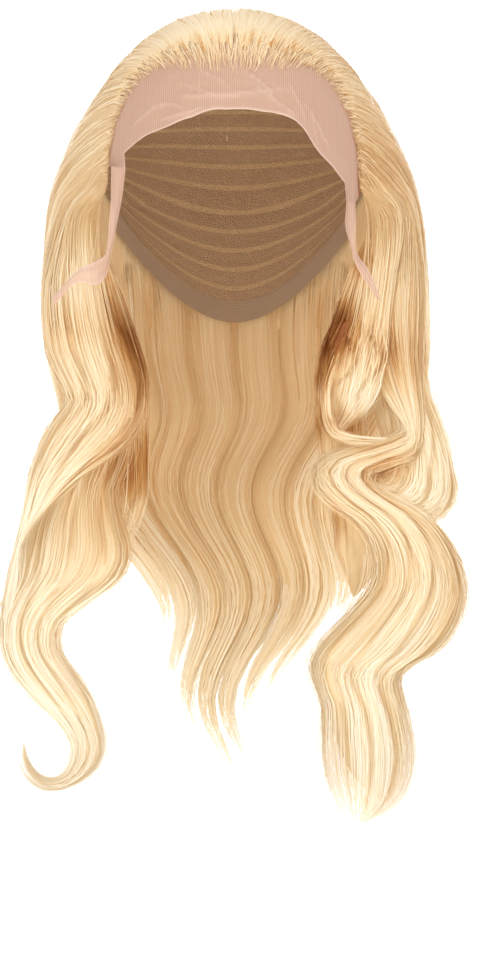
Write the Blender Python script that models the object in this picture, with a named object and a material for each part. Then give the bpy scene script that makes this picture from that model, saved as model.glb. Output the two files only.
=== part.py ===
"""Lace front wig: a lace and net cap with long waved hair, shown with the form it has when worn.

Metres, +Z up. The wig faces -Y. The origin is the inside of the cap's crown, where the wig sits.
Every lock is a closed body of its own, cut clear of the lock in front of it.
"""
import bpy
import bmesh
import numpy as np
from math import pi, radians

# Head form that the cap fits
HEAD_WIDTH = 0.152
HEAD_FRONT = 0.090
HEAD_BACK = 0.100
CROWN_DROP = 0.095
HEAD_ROUND = 2.3
NECK_TAPER = 0.10

# Cap and lace
CAP_WALL = 0.0012
LACE_WALL = 0.0010
BAND_HEIGHT = 0.012
BAND_WALL = 0.0018
BAND_REACH = 0.72
GAP = 0.0004
HAIR_CLEARANCE = 0.0014
CREASE_HEIGHT = 0.0016

# Hair
HAIR_TOP = 0.0105
HAIR_HEIGHT = 0.1605
HAIR_HALF_WIDTH = 0.109
HAIR_FRONT = 0.104
HAIR_BACK = 0.122
RING_DROP = 0.165
FALL = 0.281
LOCK_DEPTH = 0.020
MANE_FALL = 0.262
MANE_DEPTH = 0.0098
MANE_WAVE = 0.011
MANE_WAVES = 2.1
MANE_SWAY = 0.012
MANE_GATHER = 0.62
MANE_TURN = 72.0
MANE_LOOSE = 0.05

# Where the cap's edges run, in shares of the way from the crown (0) to the widest level (1)
SEAM_BACK = 0.10
SEAM_END = 0.95
EAR_EDGE = 0.95
NAPE_EDGE = 1.36
EAR_TURN = 95.0

# How the hair is combed
SWEEP = 0.25
RING_FRONT_TURN = 58.0
SIDE_FROM = 0.55
CROWN_GROOVES = 9
GROOVE_SHARE = 0.16
GROOVE_SHARPNESS = 8
ROOT_SHARE = 0.10
FILL_RUN = 0.38
FACE_EDGE_FROM = 0.72
FACE_EDGE_RUN = 0.30
FACE_EDGE_LEAST = 0.06
PART_SHARE = 0.003
LEAST_HAIR = 1.01

# Creases of the loose lace: waves along and across it, and where they start on the way to the edge
CREASES_ALONG = 9
CREASES_ACROSS = 7
CREASE_FROM = 0.8

# Mesh fineness
CROWN_STEPS = (15, 13)
SIDE_STEPS = (12, 12)
LOCK_SIDES = 12
LOCK_SQUARENESS = 0.9
LOCK_LEAST_DEEP = 0.05
MANE_SIDES = 12
MANE_SQUARENESS = 0.8
MANE_ROWS = 15
MANE_LAST_ROW = 0.04
LACE_COLUMNS = 9
LACE_ROWS = 23
TAIL_ROWS = {"left": 10, "right": 8}
CAP_STEPS = (17, 9)
BAND_STEPS = (13, 3)
SMOOTH_ANGLE = 50.0

HEAD_HALF = HEAD_WIDTH / 2
HAIR_SEAT = CAP_WALL + HAIR_CLEARANCE
RING_SHARE = 1 + (RING_DROP / CROWN_DROP - 1) / (pi / 2)

# Hairline on the right half: along 0 at the middle of the forehead, 1 in front of the ear
HAIRLINE = {
    "along": (0.00, 0.22, 0.40, 0.50, 0.60, 0.72, 0.85, 1.00),
    "across": (0.00, 0.28, 0.55, 0.67, 0.75, 0.82, 0.865, 0.885),
    "down": (0.33, 0.325, 0.335, 0.40, 0.50, 0.62, 0.78, 1.02),
}

# Cut edge of the lace over the forehead, from the left temple to the right one
# seam: where along the rear seam the same lace thread starts
FREE_EDGE = {
    "across": (-0.755, -0.59, -0.43, -0.30, -0.12, 0.055, 0.24, 0.41, 0.48, 0.575, 0.69, 0.776),
    "down": (0.83, 0.74, 0.70, 0.66, 0.62, 0.62, 0.63, 0.665, 0.71, 0.83, 0.915, 0.99),
    "seam": (-1.00, -0.84, -0.66, -0.46, -0.18, 0.06, 0.32, 0.54, 0.68, 0.80, 0.91, 1.00),
}

# Lace strips beside the face and their loose tails, from the temple down to the tip
# hair and free: the two long edges, across and down; forward: how far in front of the middle
STRIP_LEFT = (
    ("hair_across", "hair_down", "free_across", "free_down", "forward"),
    (-0.835, 0.93, -0.775, 0.95, 0.56),
    (-0.870, 1.07, -0.790, 1.06, 0.53),
    (-0.885, 1.20, -0.822, 1.19, 0.52),
    (-0.893, 1.32, -0.862, 1.36, 0.53),
    (-0.914, 1.40, -0.900, 1.51, 0.58),
    (-1.000, 1.45, -0.970, 1.57, 0.64),
    (-1.100, 1.49, -1.105, 1.56, 0.67),
    (-1.290, 1.65, -1.255, 1.68, 0.66),
)
STRIP_RIGHT = (
    ("hair_across", "hair_down", "free_across", "free_down", "forward"),
    (0.865, 1.10, 0.802, 1.09, 0.54),
    (0.870, 1.215, 0.793, 1.22, 0.53),
    (0.872, 1.37, 0.829, 1.34, 0.55),
    (0.951, 1.477, 0.871, 1.46, 0.60),
    (1.013, 1.585, 0.957, 1.58, 0.64),
    (1.045, 1.660, 1.015, 1.65, 0.65),
)

# Locks, a row for each section, in shares of the hair's half width and of the fall below the ring
# outer and inner: the two edges of the lock, across and down; forward: its middle in shares of
# the head's front; deep: half its thickness in shares of the lock depth
LOCK_COLUMNS = ("outer_across", "outer_down", "inner_across", "inner_down", "forward", "deep")
LOCKS = {
    "front_fall_left": (
        (-0.98, 0.000, -0.52, 0.000, 0.33, 1.05),
        (-0.96, 0.066, -0.46, 0.066, 0.37, 1.10),
        (-0.90, 0.115, -0.42, 0.120, 0.41, 1.05),
        (-0.84, 0.158, -0.42, 0.173, 0.44, 1.00),
        (-0.88, 0.187, -0.45, 0.217, 0.46, 0.95),
        (-0.95, 0.225, -0.53, 0.256, 0.47, 0.90),
        (-1.00, 0.272, -0.64, 0.283, 0.48, 0.85),
        (-1.03, 0.318, -0.78, 0.318, 0.49, 0.70),
        (-1.04, 0.366, -0.90, 0.362, 0.49, 0.55),
        (-1.06, 0.410, -0.99, 0.399, 0.48, 0.35),
        (-1.09, 0.449, -1.06, 0.443, 0.47, 0.12),
    ),
    "hook_wave_left": (
        (-0.98, 0.000, -0.73, 0.000, -0.11, 0.80),
        (-0.94, 0.099, -0.62, 0.099, -0.07, 0.75),
        (-0.88, 0.199, -0.51, 0.209, 0.02, 0.70),
        (-0.91, 0.278, -0.53, 0.282, 0.09, 0.75),
        (-0.95, 0.337, -0.58, 0.337, 0.16, 0.75),
        (-1.03, 0.392, -0.54, 0.396, 0.22, 0.80),
        (-1.08, 0.444, -0.49, 0.460, 0.29, 0.85),
        (-1.10, 0.496, -0.55, 0.512, 0.34, 0.85),
        (-1.14, 0.546, -0.74, 0.562, 0.39, 0.80),
        (-1.17, 0.592, -0.84, 0.596, 0.41, 0.80),
        (-1.16, 0.643, -0.85, 0.646, 0.42, 0.80),
        (-1.11, 0.689, -0.79, 0.681, 0.43, 0.75),
        (-1.00, 0.737, -0.70, 0.731, 0.44, 0.70),
        (-0.90, 0.774, -0.65, 0.781, 0.44, 0.60),
        (-0.82, 0.814, -0.63, 0.824, 0.44, 0.50),
        (-0.81, 0.849, -0.65, 0.862, 0.44, 0.45),
        (-0.84, 0.880, -0.74, 0.897, 0.44, 0.40),
        (-0.90, 0.891, -0.87, 0.918, 0.44, 0.35),
        (-0.96, 0.886, -0.98, 0.913, 0.44, 0.30),
        (-1.01, 0.864, -1.05, 0.886, 0.44, 0.25),
        (-1.03, 0.841, -1.08, 0.853, 0.44, 0.20),
        (-1.04, 0.816, -1.06, 0.812, 0.44, 0.07),
    ),
    "neck_lock_left": (
        (-0.72, 0.000, -0.53, 0.000, -0.13, 0.70),
        (-0.66, 0.098, -0.44, 0.098, -0.20, 0.65),
        (-0.64, 0.197, -0.43, 0.197, -0.24, 0.60),
        (-0.63, 0.287, -0.43, 0.287, -0.22, 0.60),
        (-0.62, 0.357, -0.44, 0.357, -0.18, 0.55),
        (-0.63, 0.417, -0.49, 0.417, -0.13, 0.45),
        (-0.62, 0.460, -0.56, 0.460, -0.09, 0.20),
    ),
    "front_fall_right": (
        (0.79, 0.000, 0.50, 0.000, 0.36, 0.95),
        (0.78, 0.056, 0.44, 0.056, 0.37, 0.95),
        (0.76, 0.101, 0.41, 0.101, 0.38, 0.90),
        (0.73, 0.147, 0.40, 0.143, 0.39, 0.80),
        (0.67, 0.182, 0.41, 0.178, 0.40, 0.65),
        (0.59, 0.209, 0.43, 0.209, 0.40, 0.40),
        (0.52, 0.233, 0.46, 0.233, 0.40, 0.15),
    ),
    "loop_lock_right": (
        (0.48, 0.135, 0.42, 0.135, 0.54, 0.15),
        (0.48, 0.168, 0.42, 0.174, 0.57, 0.22),
        (0.49, 0.199, 0.43, 0.211, 0.58, 0.22),
        (0.52, 0.218, 0.47, 0.237, 0.58, 0.22),
        (0.58, 0.228, 0.57, 0.251, 0.57, 0.22),
        (0.68, 0.233, 0.68, 0.253, 0.54, 0.20),
        (0.78, 0.235, 0.78, 0.247, 0.51, 0.10),
    ),
    "outer_fall_right": (
        (1.01, 0.000, 0.68, 0.000, -0.09, 1.00),
        (1.00, 0.060, 0.68, 0.060, -0.03, 1.00),
        (0.99, 0.110, 0.69, 0.115, 0.06, 1.00),
        (1.01, 0.159, 0.70, 0.163, 0.14, 0.95),
        (1.05, 0.208, 0.72, 0.208, 0.21, 0.90),
        (1.10, 0.261, 0.75, 0.245, 0.27, 0.80),
        (1.12, 0.312, 0.77, 0.272, 0.31, 0.75),
        (1.12, 0.351, 0.78, 0.286, 0.34, 0.70),
        (1.09, 0.382, 0.76, 0.294, 0.37, 0.65),
        (1.01, 0.399, 0.74, 0.299, 0.38, 0.60),
        (0.90, 0.386, 0.71, 0.303, 0.39, 0.50),
        (0.80, 0.370, 0.67, 0.306, 0.39, 0.35),
        (0.71, 0.356, 0.63, 0.309, 0.39, 0.15),
    ),
    "cross_wave_right": (
        (0.92, 0.270, 0.85, 0.218, 0.47, 0.15),
        (0.83, 0.285, 0.69, 0.243, 0.47, 0.40),
        (0.76, 0.295, 0.53, 0.258, 0.47, 0.55),
        (0.71, 0.302, 0.42, 0.275, 0.46, 0.60),
        (0.70, 0.314, 0.38, 0.300, 0.44, 0.65),
        (0.74, 0.331, 0.40, 0.329, 0.44, 0.70),
        (0.83, 0.351, 0.48, 0.362, 0.44, 0.75),
        (0.96, 0.380, 0.58, 0.389, 0.44, 0.80),
        (1.06, 0.420, 0.66, 0.426, 0.43, 0.80),
        (1.13, 0.465, 0.69, 0.472, 0.42, 0.85),
        (1.17, 0.515, 0.67, 0.521, 0.42, 0.85),
        (1.17, 0.558, 0.59, 0.561, 0.42, 0.85),
        (1.12, 0.608, 0.48, 0.604, 0.42, 0.80),
        (1.03, 0.650, 0.39, 0.643, 0.42, 0.75),
        (0.88, 0.681, 0.36, 0.675, 0.42, 0.70),
        (0.84, 0.706, 0.38, 0.710, 0.42, 0.65),
        (0.87, 0.751, 0.42, 0.747, 0.42, 0.70),
        (0.90, 0.798, 0.42, 0.798, 0.41, 0.70),
        (0.92, 0.844, 0.42, 0.844, 0.40, 0.70),
        (0.90, 0.899, 0.44, 0.891, 0.39, 0.60),
        (0.84, 0.942, 0.49, 0.938, 0.38, 0.45),
        (0.73, 0.971, 0.55, 0.969, 0.37, 0.30),
        (0.65, 0.985, 0.61, 0.985, 0.37, 0.10),
    ),
    "neck_lock_right": (
        (0.66, 0.000, 0.53, 0.000, 0.05, 0.70),
        (0.65, 0.099, 0.42, 0.099, 0.05, 0.65),
        (0.66, 0.199, 0.41, 0.199, 0.05, 0.65),
        (0.67, 0.278, 0.43, 0.274, 0.06, 0.60),
        (0.74, 0.357, 0.47, 0.357, 0.08, 0.60),
        (0.77, 0.416, 0.49, 0.416, 0.09, 0.60),
        (0.77, 0.475, 0.50, 0.467, 0.10, 0.60),
        (0.72, 0.524, 0.53, 0.518, 0.13, 0.45),
        (0.64, 0.560, 0.54, 0.552, 0.18, 0.25),
        (0.57, 0.584, 0.53, 0.580, 0.20, 0.10),
    ),
}

# Which locks lie in front of others and cut them clear, front one first
CUTS = (
    ("front_fall_left", "hook_wave_left"),
    ("front_fall_left", "neck_lock_left"),
    ("hook_wave_left", "neck_lock_left"),
    ("loop_lock_right", "front_fall_right"),
    ("loop_lock_right", "outer_fall_right"),
    ("loop_lock_right", "cross_wave_right"),
    ("front_fall_right", "outer_fall_right"),
    ("front_fall_right", "neck_lock_right"),
    ("cross_wave_right", "front_fall_right"),
    ("cross_wave_right", "outer_fall_right"),
    ("cross_wave_right", "neck_lock_right"),
    ("outer_fall_right", "neck_lock_right"),
)

# Locks down the back from the left: fall as a share of the longest, depth as a share
MANE = (
    ("name", "fall", "deep"),
    ("mane_lock_1", 0.66, 1.00),
    ("mane_lock_2", 0.78, 0.92),
    ("mane_lock_3", 0.90, 1.00),
    ("mane_lock_4", 1.00, 0.94),
    ("mane_lock_5", 0.98, 1.00),
    ("mane_lock_6", 0.88, 0.92),
    ("mane_lock_7", 0.80, 1.00),
    ("mane_lock_8", 0.64, 0.94),
)

COLOURS = {
    "lace": ((0.80, 0.62, 0.52, 1), 0.70),
    "net": ((0.62, 0.46, 0.33, 1), 0.80),
    "band": ((0.70, 0.55, 0.42, 1), 0.75),
    "crown hair": ((0.86, 0.68, 0.42, 1), 0.42),
    "front hair": ((0.90, 0.74, 0.47, 1), 0.40),
    "inner hair": ((0.62, 0.36, 0.14, 1), 0.50),
    "back hair": ((0.80, 0.60, 0.34, 1), 0.45),
}


def clear_scene():
    """Remove the start-up objects."""
    for thing in list(bpy.data.objects):
        bpy.data.objects.remove(thing, do_unlink=True)


def material_of(name):
    """Principled material with the colour and roughness of one finish."""
    finish = bpy.data.materials.get(name)
    if finish is None:
        colour, roughness = COLOURS[name]
        finish = bpy.data.materials.new(name)
        finish.use_nodes = True
        shader = finish.node_tree.nodes["Principled BSDF"]
        shader.inputs["Base Color"].default_value = colour
        shader.inputs["Roughness"].default_value = roughness
        shader.inputs["Metallic"].default_value = 0.0
    return finish


def add_object(name, points, faces, finish):
    """Make one named object from its points and faces, with faces pointing outwards."""
    mesh = bpy.data.meshes.new(name)
    mesh.from_pydata([tuple(p) for p in points], [], faces)
    work = bmesh.new()
    work.from_mesh(mesh)
    bmesh.ops.recalc_face_normals(work, faces=work.faces)
    work.to_mesh(mesh)
    work.free()
    mesh.materials.append(material_of(finish))
    mesh.shade_smooth()
    mesh.set_sharp_from_angle(angle=radians(SMOOTH_ANGLE))
    thing = bpy.data.objects.new(name, mesh)
    bpy.context.collection.objects.link(thing)
    return thing


def smooth_table(columns, count):
    """Carry each column smoothly (Catmull-Rom) through its rows, at count even steps."""
    rows = np.asarray(columns, dtype=float)
    last = len(rows) - 1
    place = np.linspace(0, last, count)
    base = np.minimum(place.astype(int), last - 1)
    part = (place - base)[:, None]
    before = rows[np.maximum(base - 1, 0)]
    here = rows[base]
    there = rows[base + 1]
    after = rows[np.minimum(base + 2, last)]
    bend = 2 * before - 5 * here + 4 * there - after
    twist = 3 * (here - there) + after - before
    return here + 0.5 * part * (there - before + part * (bend + part * twist))


def head_point(a, b, lift):
    """Point on the head form grown by lift.

    a and b are a flat map of the head: the distance from the crown is 0 there and 1 at the widest
    level, b runs to the back. Above the widest level the form is a rounded dome, and below it the
    walls run straight down and narrow a little.
    """
    away = np.hypot(a, b)
    turn = np.arctan2(a, -b)
    quarter = np.clip(away, 0, 1) * pi / 2
    below = np.clip(away - 1, 0, None)
    ring = np.sin(quarter) ** (2 / HEAD_ROUND) * (1 - NECK_TAPER * below ** 2)
    level = 1 - np.cos(quarter) ** (2 / HEAD_ROUND)
    reach = np.where(np.cos(turn) > 0, HEAD_FRONT, HEAD_BACK)
    x = (HEAD_HALF + lift) * ring * np.sin(turn)
    y = -(reach + lift) * ring * np.cos(turn)
    z = lift - (CROWN_DROP + lift) * level - CROWN_DROP * pi / 2 * below
    return np.stack([x, y, z], axis=-1)


def map_place(across, down):
    """Place on the flat map of a point given by its share across the head and below the crown."""
    across = np.asarray(across, dtype=float)
    down = np.asarray(down, dtype=float)
    level = np.clip(1 - down, 0, 1)
    dome = np.arccos(level ** (HEAD_ROUND / 2)) / (pi / 2)
    away = np.where(down < 1, dome, 1 + (down - 1) / (pi / 2))
    ring = np.sin(np.clip(away, 0, 1) * pi / 2) ** (2 / HEAD_ROUND)
    side = np.clip(across / ring, -0.97, 0.97)
    return away * side, -away * np.sqrt(1 - side ** 2)


def smoothstep(x):
    """Ease from 0 to 1 with level ends."""
    x = np.clip(x, 0, 1)
    return x * x * (3 - 2 * x)


def hair_point(a, b, share):
    """Point between the hair's inner face on the cap (share 0) and its outer face (share 1).

    The outer face is an ellipsoid with straight sides below its middle. A ray from the middle of
    the head through the inner face meets it.
    """
    inner = head_point(a, b, HAIR_SEAT)
    x, y, z = inner[..., 0], inner[..., 1], inner[..., 2]
    reach = np.where(y < 0, HAIR_FRONT, HAIR_BACK)
    middle = HAIR_TOP - HAIR_HEIGHT
    rise = (-CROWN_DROP - middle) / HAIR_HEIGHT
    up = np.clip(z + CROWN_DROP, 0, None)
    square = (x / HAIR_HALF_WIDTH) ** 2 + (y / reach) ** 2 + (up / HAIR_HEIGHT) ** 2
    linear = 2 * rise * up / HAIR_HEIGHT
    dome = (-linear + np.sqrt(linear ** 2 - 4 * square * (rise ** 2 - 1))) / (2 * square)
    height = np.clip((z - middle) / HAIR_HEIGHT, 0, 1)
    flat = np.sqrt((x / HAIR_HALF_WIDTH) ** 2 + (y / reach) ** 2)
    wall = np.sqrt(1 - height ** 2) / flat
    grow = np.maximum(np.where(z > -CROWN_DROP, dome, wall), LEAST_HAIR)
    scale = 1 + (grow - 1) * share
    outer_z = np.where(z > -CROWN_DROP, -CROWN_DROP + up * scale, z)
    return np.stack([x * scale, y * scale, outer_z], axis=-1)


def comb_place(t, v):
    """Place on the flat map of the hair strand t at the share v of its way to the ring.

    It is a parabola from the hairline to the ring, drawn backwards in the middle. Strand 0 starts
    at the forehead and ends at the nape, strand 1 or -1 starts and ends in front of the ear.
    """
    size = np.abs(t)
    along = np.array(HAIRLINE["along"])
    across = np.interp(size, along, HAIRLINE["across"])
    down = np.interp(size, along, HAIRLINE["down"])
    root_a, root_b = map_place(across, down)
    turn = np.radians(180 - (180 - RING_FRONT_TURN) * size)
    ring_a = RING_SHARE * np.sin(turn)
    ring_b = -RING_SHARE * np.cos(turn)
    pull_a = (root_a + ring_a) / 2
    pull_b = (root_b + ring_b) / 2 + SWEEP
    a = (1 - v) ** 2 * root_a + 2 * v * (1 - v) * pull_a + v ** 2 * ring_a
    b = (1 - v) ** 2 * root_b + 2 * v * (1 - v) * pull_b + v ** 2 * ring_b
    return np.sign(t) * a, b


def shell_faces(rows, columns):
    """Faces of a closed shell: an inner and an outer grid of points, joined along their rims."""
    def at(layer, i, j):
        return layer * rows * columns + i * columns + j

    faces = []
    for i in range(rows - 1):
        for j in range(columns - 1):
            for layer in (0, 1):
                faces.append((at(layer, i, j), at(layer, i + 1, j),
                              at(layer, i + 1, j + 1), at(layer, i, j + 1)))
    for i in range(rows - 1):
        for j in (0, columns - 1):
            faces.append((at(0, i, j), at(0, i + 1, j), at(1, i + 1, j), at(1, i, j)))
    for j in range(columns - 1):
        for i in (0, rows - 1):
            faces.append((at(0, i, j), at(0, i, j + 1), at(1, i, j + 1), at(1, i, j)))
    return faces


def add_shell(name, inner, outer, finish):
    """Closed wall between an inner and an outer grid of points."""
    rows, columns = inner.shape[:2]
    points = np.concatenate([inner.reshape(-1, 3), outer.reshape(-1, 3)])
    return add_object(name, points, shell_faces(rows, columns), finish)


def combed_shell(name, start, end, steps, finish):
    """Hair from strand start to strand end, between the cap and the outer face, in soft locks."""
    t = np.linspace(start, end, steps[0])[:, None]
    v = np.linspace(0, 1, steps[1])[None, :]
    a, b = comb_place(t + 0 * v, v + 0 * t)
    fill = ROOT_SHARE + (1 - ROOT_SHARE) * smoothstep(v / FILL_RUN)
    dip = np.cos(pi * CROWN_GROOVES * t) ** GROOVE_SHARPNESS
    groove = 1 - GROOVE_SHARE * dip * smoothstep(v / FILL_RUN)
    near_face = np.clip((np.abs(t) - FACE_EDGE_FROM) / FACE_EDGE_RUN, 0, 1)
    edge = np.sqrt(np.maximum(1 - near_face ** 2, FACE_EDGE_LEAST))
    inner = hair_point(a, b, 0.0 * a)
    outer = hair_point(a, b, fill * groove * edge)
    return add_shell(name, inner, outer, finish)


def thread_points(start, end, count):
    """Points on the flat map straight from start to end, as an array over the starts."""
    share = np.linspace(0, 1, count)[None, :, None]
    return start[:, None, :] * (1 - share) + end[:, None, :] * share


def seam_place(u):
    """Rear seam of the lace on the flat map, from ear (-1) to ear (1)."""
    return np.stack([SEAM_END * u, SEAM_BACK * (1 - u ** 2)], axis=-1)


def strip_sheet(table, count):
    """Points of one temple strip and its tail, a row of points for each step down the strip."""
    rows = smooth_table(table[1:], count)
    share = np.linspace(0, 1, LACE_COLUMNS)[None, :]
    hair_x, hair_z, free_x, free_z, forward = (rows[:, k:k + 1] for k in range(5))
    x = HEAD_HALF * (hair_x * (1 - share) + free_x * share)
    z = -CROWN_DROP * (hair_z * (1 - share) + free_z * share)
    curl = CREASE_HEIGHT * np.sin(pi * share)
    y = -HEAD_FRONT * forward - curl + 0 * x
    return np.stack([x, y, z], axis=-1)


def make_lace():
    """Lace panel: from the rear seam under the hair to the cut edge, with the strips and tails."""
    table = np.stack([FREE_EDGE[key] for key in ("across", "down", "seam")], axis=1)
    edge = smooth_table(table, LACE_ROWS)
    free = np.stack(map_place(edge[:, 0], edge[:, 1]), axis=-1)
    seam = seam_place(np.clip(edge[:, 2], -1, 1))
    panel = thread_points(seam, free, LACE_COLUMNS)
    share = np.linspace(0, 1, LACE_COLUMNS)[None, :]
    loose = smoothstep((share - CREASE_FROM) / (1 - CREASE_FROM))
    crease = np.sin(CREASES_ACROSS * share + CREASES_ALONG * edge[:, 2:3]) * loose
    sheet = head_point(panel[..., 0], panel[..., 1], 0.0 * crease)
    sheet = sheet + lift_out(sheet, CREASE_HEIGHT * np.abs(crease))
    left = strip_sheet(STRIP_LEFT, TAIL_ROWS["left"])[::-1]
    right = strip_sheet(STRIP_RIGHT, TAIL_ROWS["right"])
    sheet = np.concatenate([left, sheet, right])
    return add_shell("lace_front", sheet, sheet + lift_out(sheet, LACE_WALL), "lace")


def lift_out(points, height):
    """Step of the given height away from the middle of the head."""
    away = points - np.array([0, 0, -CROWN_DROP])
    away = away / np.linalg.norm(away, axis=-1, keepdims=True)
    return away * np.asarray(height)[..., None]


def cap_edge(u):
    """Lower edge of the cap on the flat map, from ear (-1) round the back to ear (1)."""
    turn = np.radians(180 - (180 - EAR_TURN) * np.abs(u))
    away = NAPE_EDGE + (EAR_EDGE - NAPE_EDGE) * smoothstep(np.abs(u))
    return np.stack([np.sign(u) * away * np.sin(turn), -away * np.cos(turn)], axis=-1)


def make_cap():
    """Net dome from the seam to the nape, cut out over the ears."""
    u = np.linspace(-1, 1, CAP_STEPS[0])
    slack = GAP / (CROWN_DROP * pi / 2)
    seam = seam_place(u) + np.array([0, slack])
    panel = thread_points(seam, cap_edge(u), CAP_STEPS[1])
    inner = head_point(panel[..., 0], panel[..., 1], 0)
    outer = head_point(panel[..., 0], panel[..., 1], CAP_WALL)
    return add_shell("cap_crown", inner, outer, "net")


def make_band():
    """Elastic band below the rear edge of the cap."""
    u = np.linspace(-BAND_REACH, BAND_REACH, BAND_STEPS[0])
    top = cap_edge(u)
    away = np.linalg.norm(top, axis=-1, keepdims=True)
    unit = CROWN_DROP * pi / 2
    start = top * (away + GAP / unit) / away
    end = top * (away + (GAP + BAND_HEIGHT) / unit) / away
    panel = thread_points(start, end, BAND_STEPS[1])
    inner = head_point(panel[..., 0], panel[..., 1], 0)
    outer = head_point(panel[..., 0], panel[..., 1], BAND_WALL)
    return add_shell("nape_band", inner, outer, "band")


def loft(name, sections, finish):
    """Closed body through rings of points, one ring for each section, capped at both ends."""
    count, sides = sections.shape[:2]
    faces = []
    for i in range(count - 1):
        for k in range(sides):
            n = (k + 1) % sides
            faces.append((i * sides + k, i * sides + n, (i + 1) * sides + n, (i + 1) * sides + k))
    faces.append(tuple(range(sides)))
    faces.append(tuple((count - 1) * sides + k for k in reversed(range(sides))))
    return add_object(name, sections.reshape(-1, 3), faces, finish)


def lock_sections(table, steps, grow):
    """Rings of a lock: an oval between its two edges, grown by a clearance where it is a cutter."""
    rows = smooth_table(table, steps)
    outer_x, outer_z, inner_x, inner_z, forward, deep = (rows[:, k:k + 1] for k in range(6))
    angle = np.linspace(0, 2 * pi, LOCK_SIDES, endpoint=False)[None, :]
    round_x = np.sign(np.cos(angle)) * np.abs(np.cos(angle)) ** LOCK_SQUARENESS
    round_y = np.sign(np.sin(angle)) * np.abs(np.sin(angle)) ** LOCK_SQUARENESS
    middle_x = HAIR_HALF_WIDTH * (outer_x + inner_x) / 2
    middle_z = -RING_DROP - GAP - FALL * (outer_z + inner_z) / 2
    half_x = HAIR_HALF_WIDTH * (outer_x - inner_x) / 2
    half_z = -FALL * (outer_z - inner_z) / 2
    size = np.hypot(half_x, half_z)
    stretch = (size + grow) / size
    x = middle_x + half_x * stretch * round_x
    z = middle_z + half_z * stretch * round_x
    y = -HEAD_FRONT * forward - (LOCK_DEPTH * np.maximum(deep, LOCK_LEAST_DEEP) + grow) * round_y
    return np.stack([x, y, z], axis=-1)


def lock_steps(table):
    """Number of sections of a lock: its rows, and one between most of them on a short lock."""
    return len(table) if len(table) > 12 else int(1.5 * len(table))


def finish_of(name):
    """Finish of a lock by its place."""
    if name.startswith("neck"):
        return "inner hair"
    return "front hair"


def make_locks():
    """The locks of both front tresses."""
    return {name: loft(name, lock_sections(table, lock_steps(table), 0.0), finish_of(name))
            for name, table in LOCKS.items()}


def cut_clear(front, back, locks):
    """Cut the lock behind clear of the lock in front, with a gap."""
    table = LOCKS[front]
    grown = lock_sections(table, lock_steps(table), GAP)
    cutter = loft("cutter_" + front + "_" + back, grown, finish_of(front))
    cutter.hide_render = True
    cutter.display_type = "WIRE"
    cut = locks[back].modifiers.new("clear of " + front, "BOOLEAN")
    cut.operation = "DIFFERENCE"
    cut.solver = "EXACT"
    cut.object = cutter


def curtain_point(turn, v, fall):
    """Middle of the hair down the back, at a turn round the head and a share of its own fall.

    The curtain starts at the ring, draws together as it falls, and waves from side to side.
    """
    ring_a = RING_SHARE * np.sin(turn)
    ring_b = -RING_SHARE * np.cos(turn)
    middle = (hair_point(ring_a, ring_b, 0.0) + hair_point(ring_a, ring_b, 1.0)) / 2
    down = fall * v
    gather = 1 - MANE_GATHER * smoothstep(down)
    wave = MANE_WAVE * np.sin(2 * pi * MANE_WAVES * down) * smoothstep(3 * down)
    x = middle[..., 0] * gather + wave
    y = middle[..., 1] - MANE_SWAY * down
    z = -RING_DROP - GAP - MANE_FALL * down + 0 * x
    return np.stack([x, y + 0 * z, z], axis=-1)


def mane_sections(index, fall, deep):
    """Rings of a lock down the back: an oval along the curtain, narrowing to a soft tip."""
    levels = np.linspace(0, 1, MANE_ROWS)
    v = (np.append(levels[levels < fall - MANE_LAST_ROW], fall) / fall)[:, None]
    width = radians(MANE_TURN) * 2 / (len(MANE) - 1)
    middle = pi + radians(MANE_TURN) - (index + 0.5) * width
    tip = np.sqrt(1 - 0.985 * v ** 5)
    angle = np.linspace(0, 2 * pi, MANE_SIDES, endpoint=False)[None, :]
    round_x = np.sign(np.cos(angle)) * np.abs(np.cos(angle)) ** MANE_SQUARENESS
    round_y = np.sign(np.sin(angle)) * np.abs(np.sin(angle)) ** MANE_SQUARENESS
    turn = middle + width / 2 * (1 - MANE_LOOSE) * tip * round_x
    centre = curtain_point(turn, v, fall)
    depth = MANE_DEPTH * deep * tip * round_y
    out = np.stack([np.sin(turn), -np.cos(turn), 0 * turn], axis=-1)
    return centre + out * depth[..., None]


def make_mane():
    """The locks down the back, from one ear round to the other."""
    for index, (name, fall, deep) in enumerate(MANE[1:]):
        loft(name, mane_sections(index, fall, deep), "back hair")


def make_wig():
    """Build every piece."""
    clear_scene()
    make_lace()
    make_cap()
    make_band()
    combed_shell("crown_hair_left", -PART_SHARE, -SIDE_FROM + PART_SHARE, CROWN_STEPS, "crown hair")
    combed_shell("crown_hair_right", PART_SHARE, SIDE_FROM - PART_SHARE, CROWN_STEPS, "crown hair")
    combed_shell("side_hair_left", -SIDE_FROM - PART_SHARE, -1.0, SIDE_STEPS, "crown hair")
    combed_shell("side_hair_right", SIDE_FROM + PART_SHARE, 1.0, SIDE_STEPS, "crown hair")
    locks = make_locks()
    for front, back in CUTS:
        cut_clear(front, back, locks)
    make_mane()


make_wig()
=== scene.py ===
# %% [markdown]
# A lace front wig is hair on a light cap: sheer lace along the forehead, stretch net over the crown,
# and an elastic band at the nape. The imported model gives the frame. Each solid lock in it is
# replaced here by a soft body with some hundreds of fine strands over it, in the same place.

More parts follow.
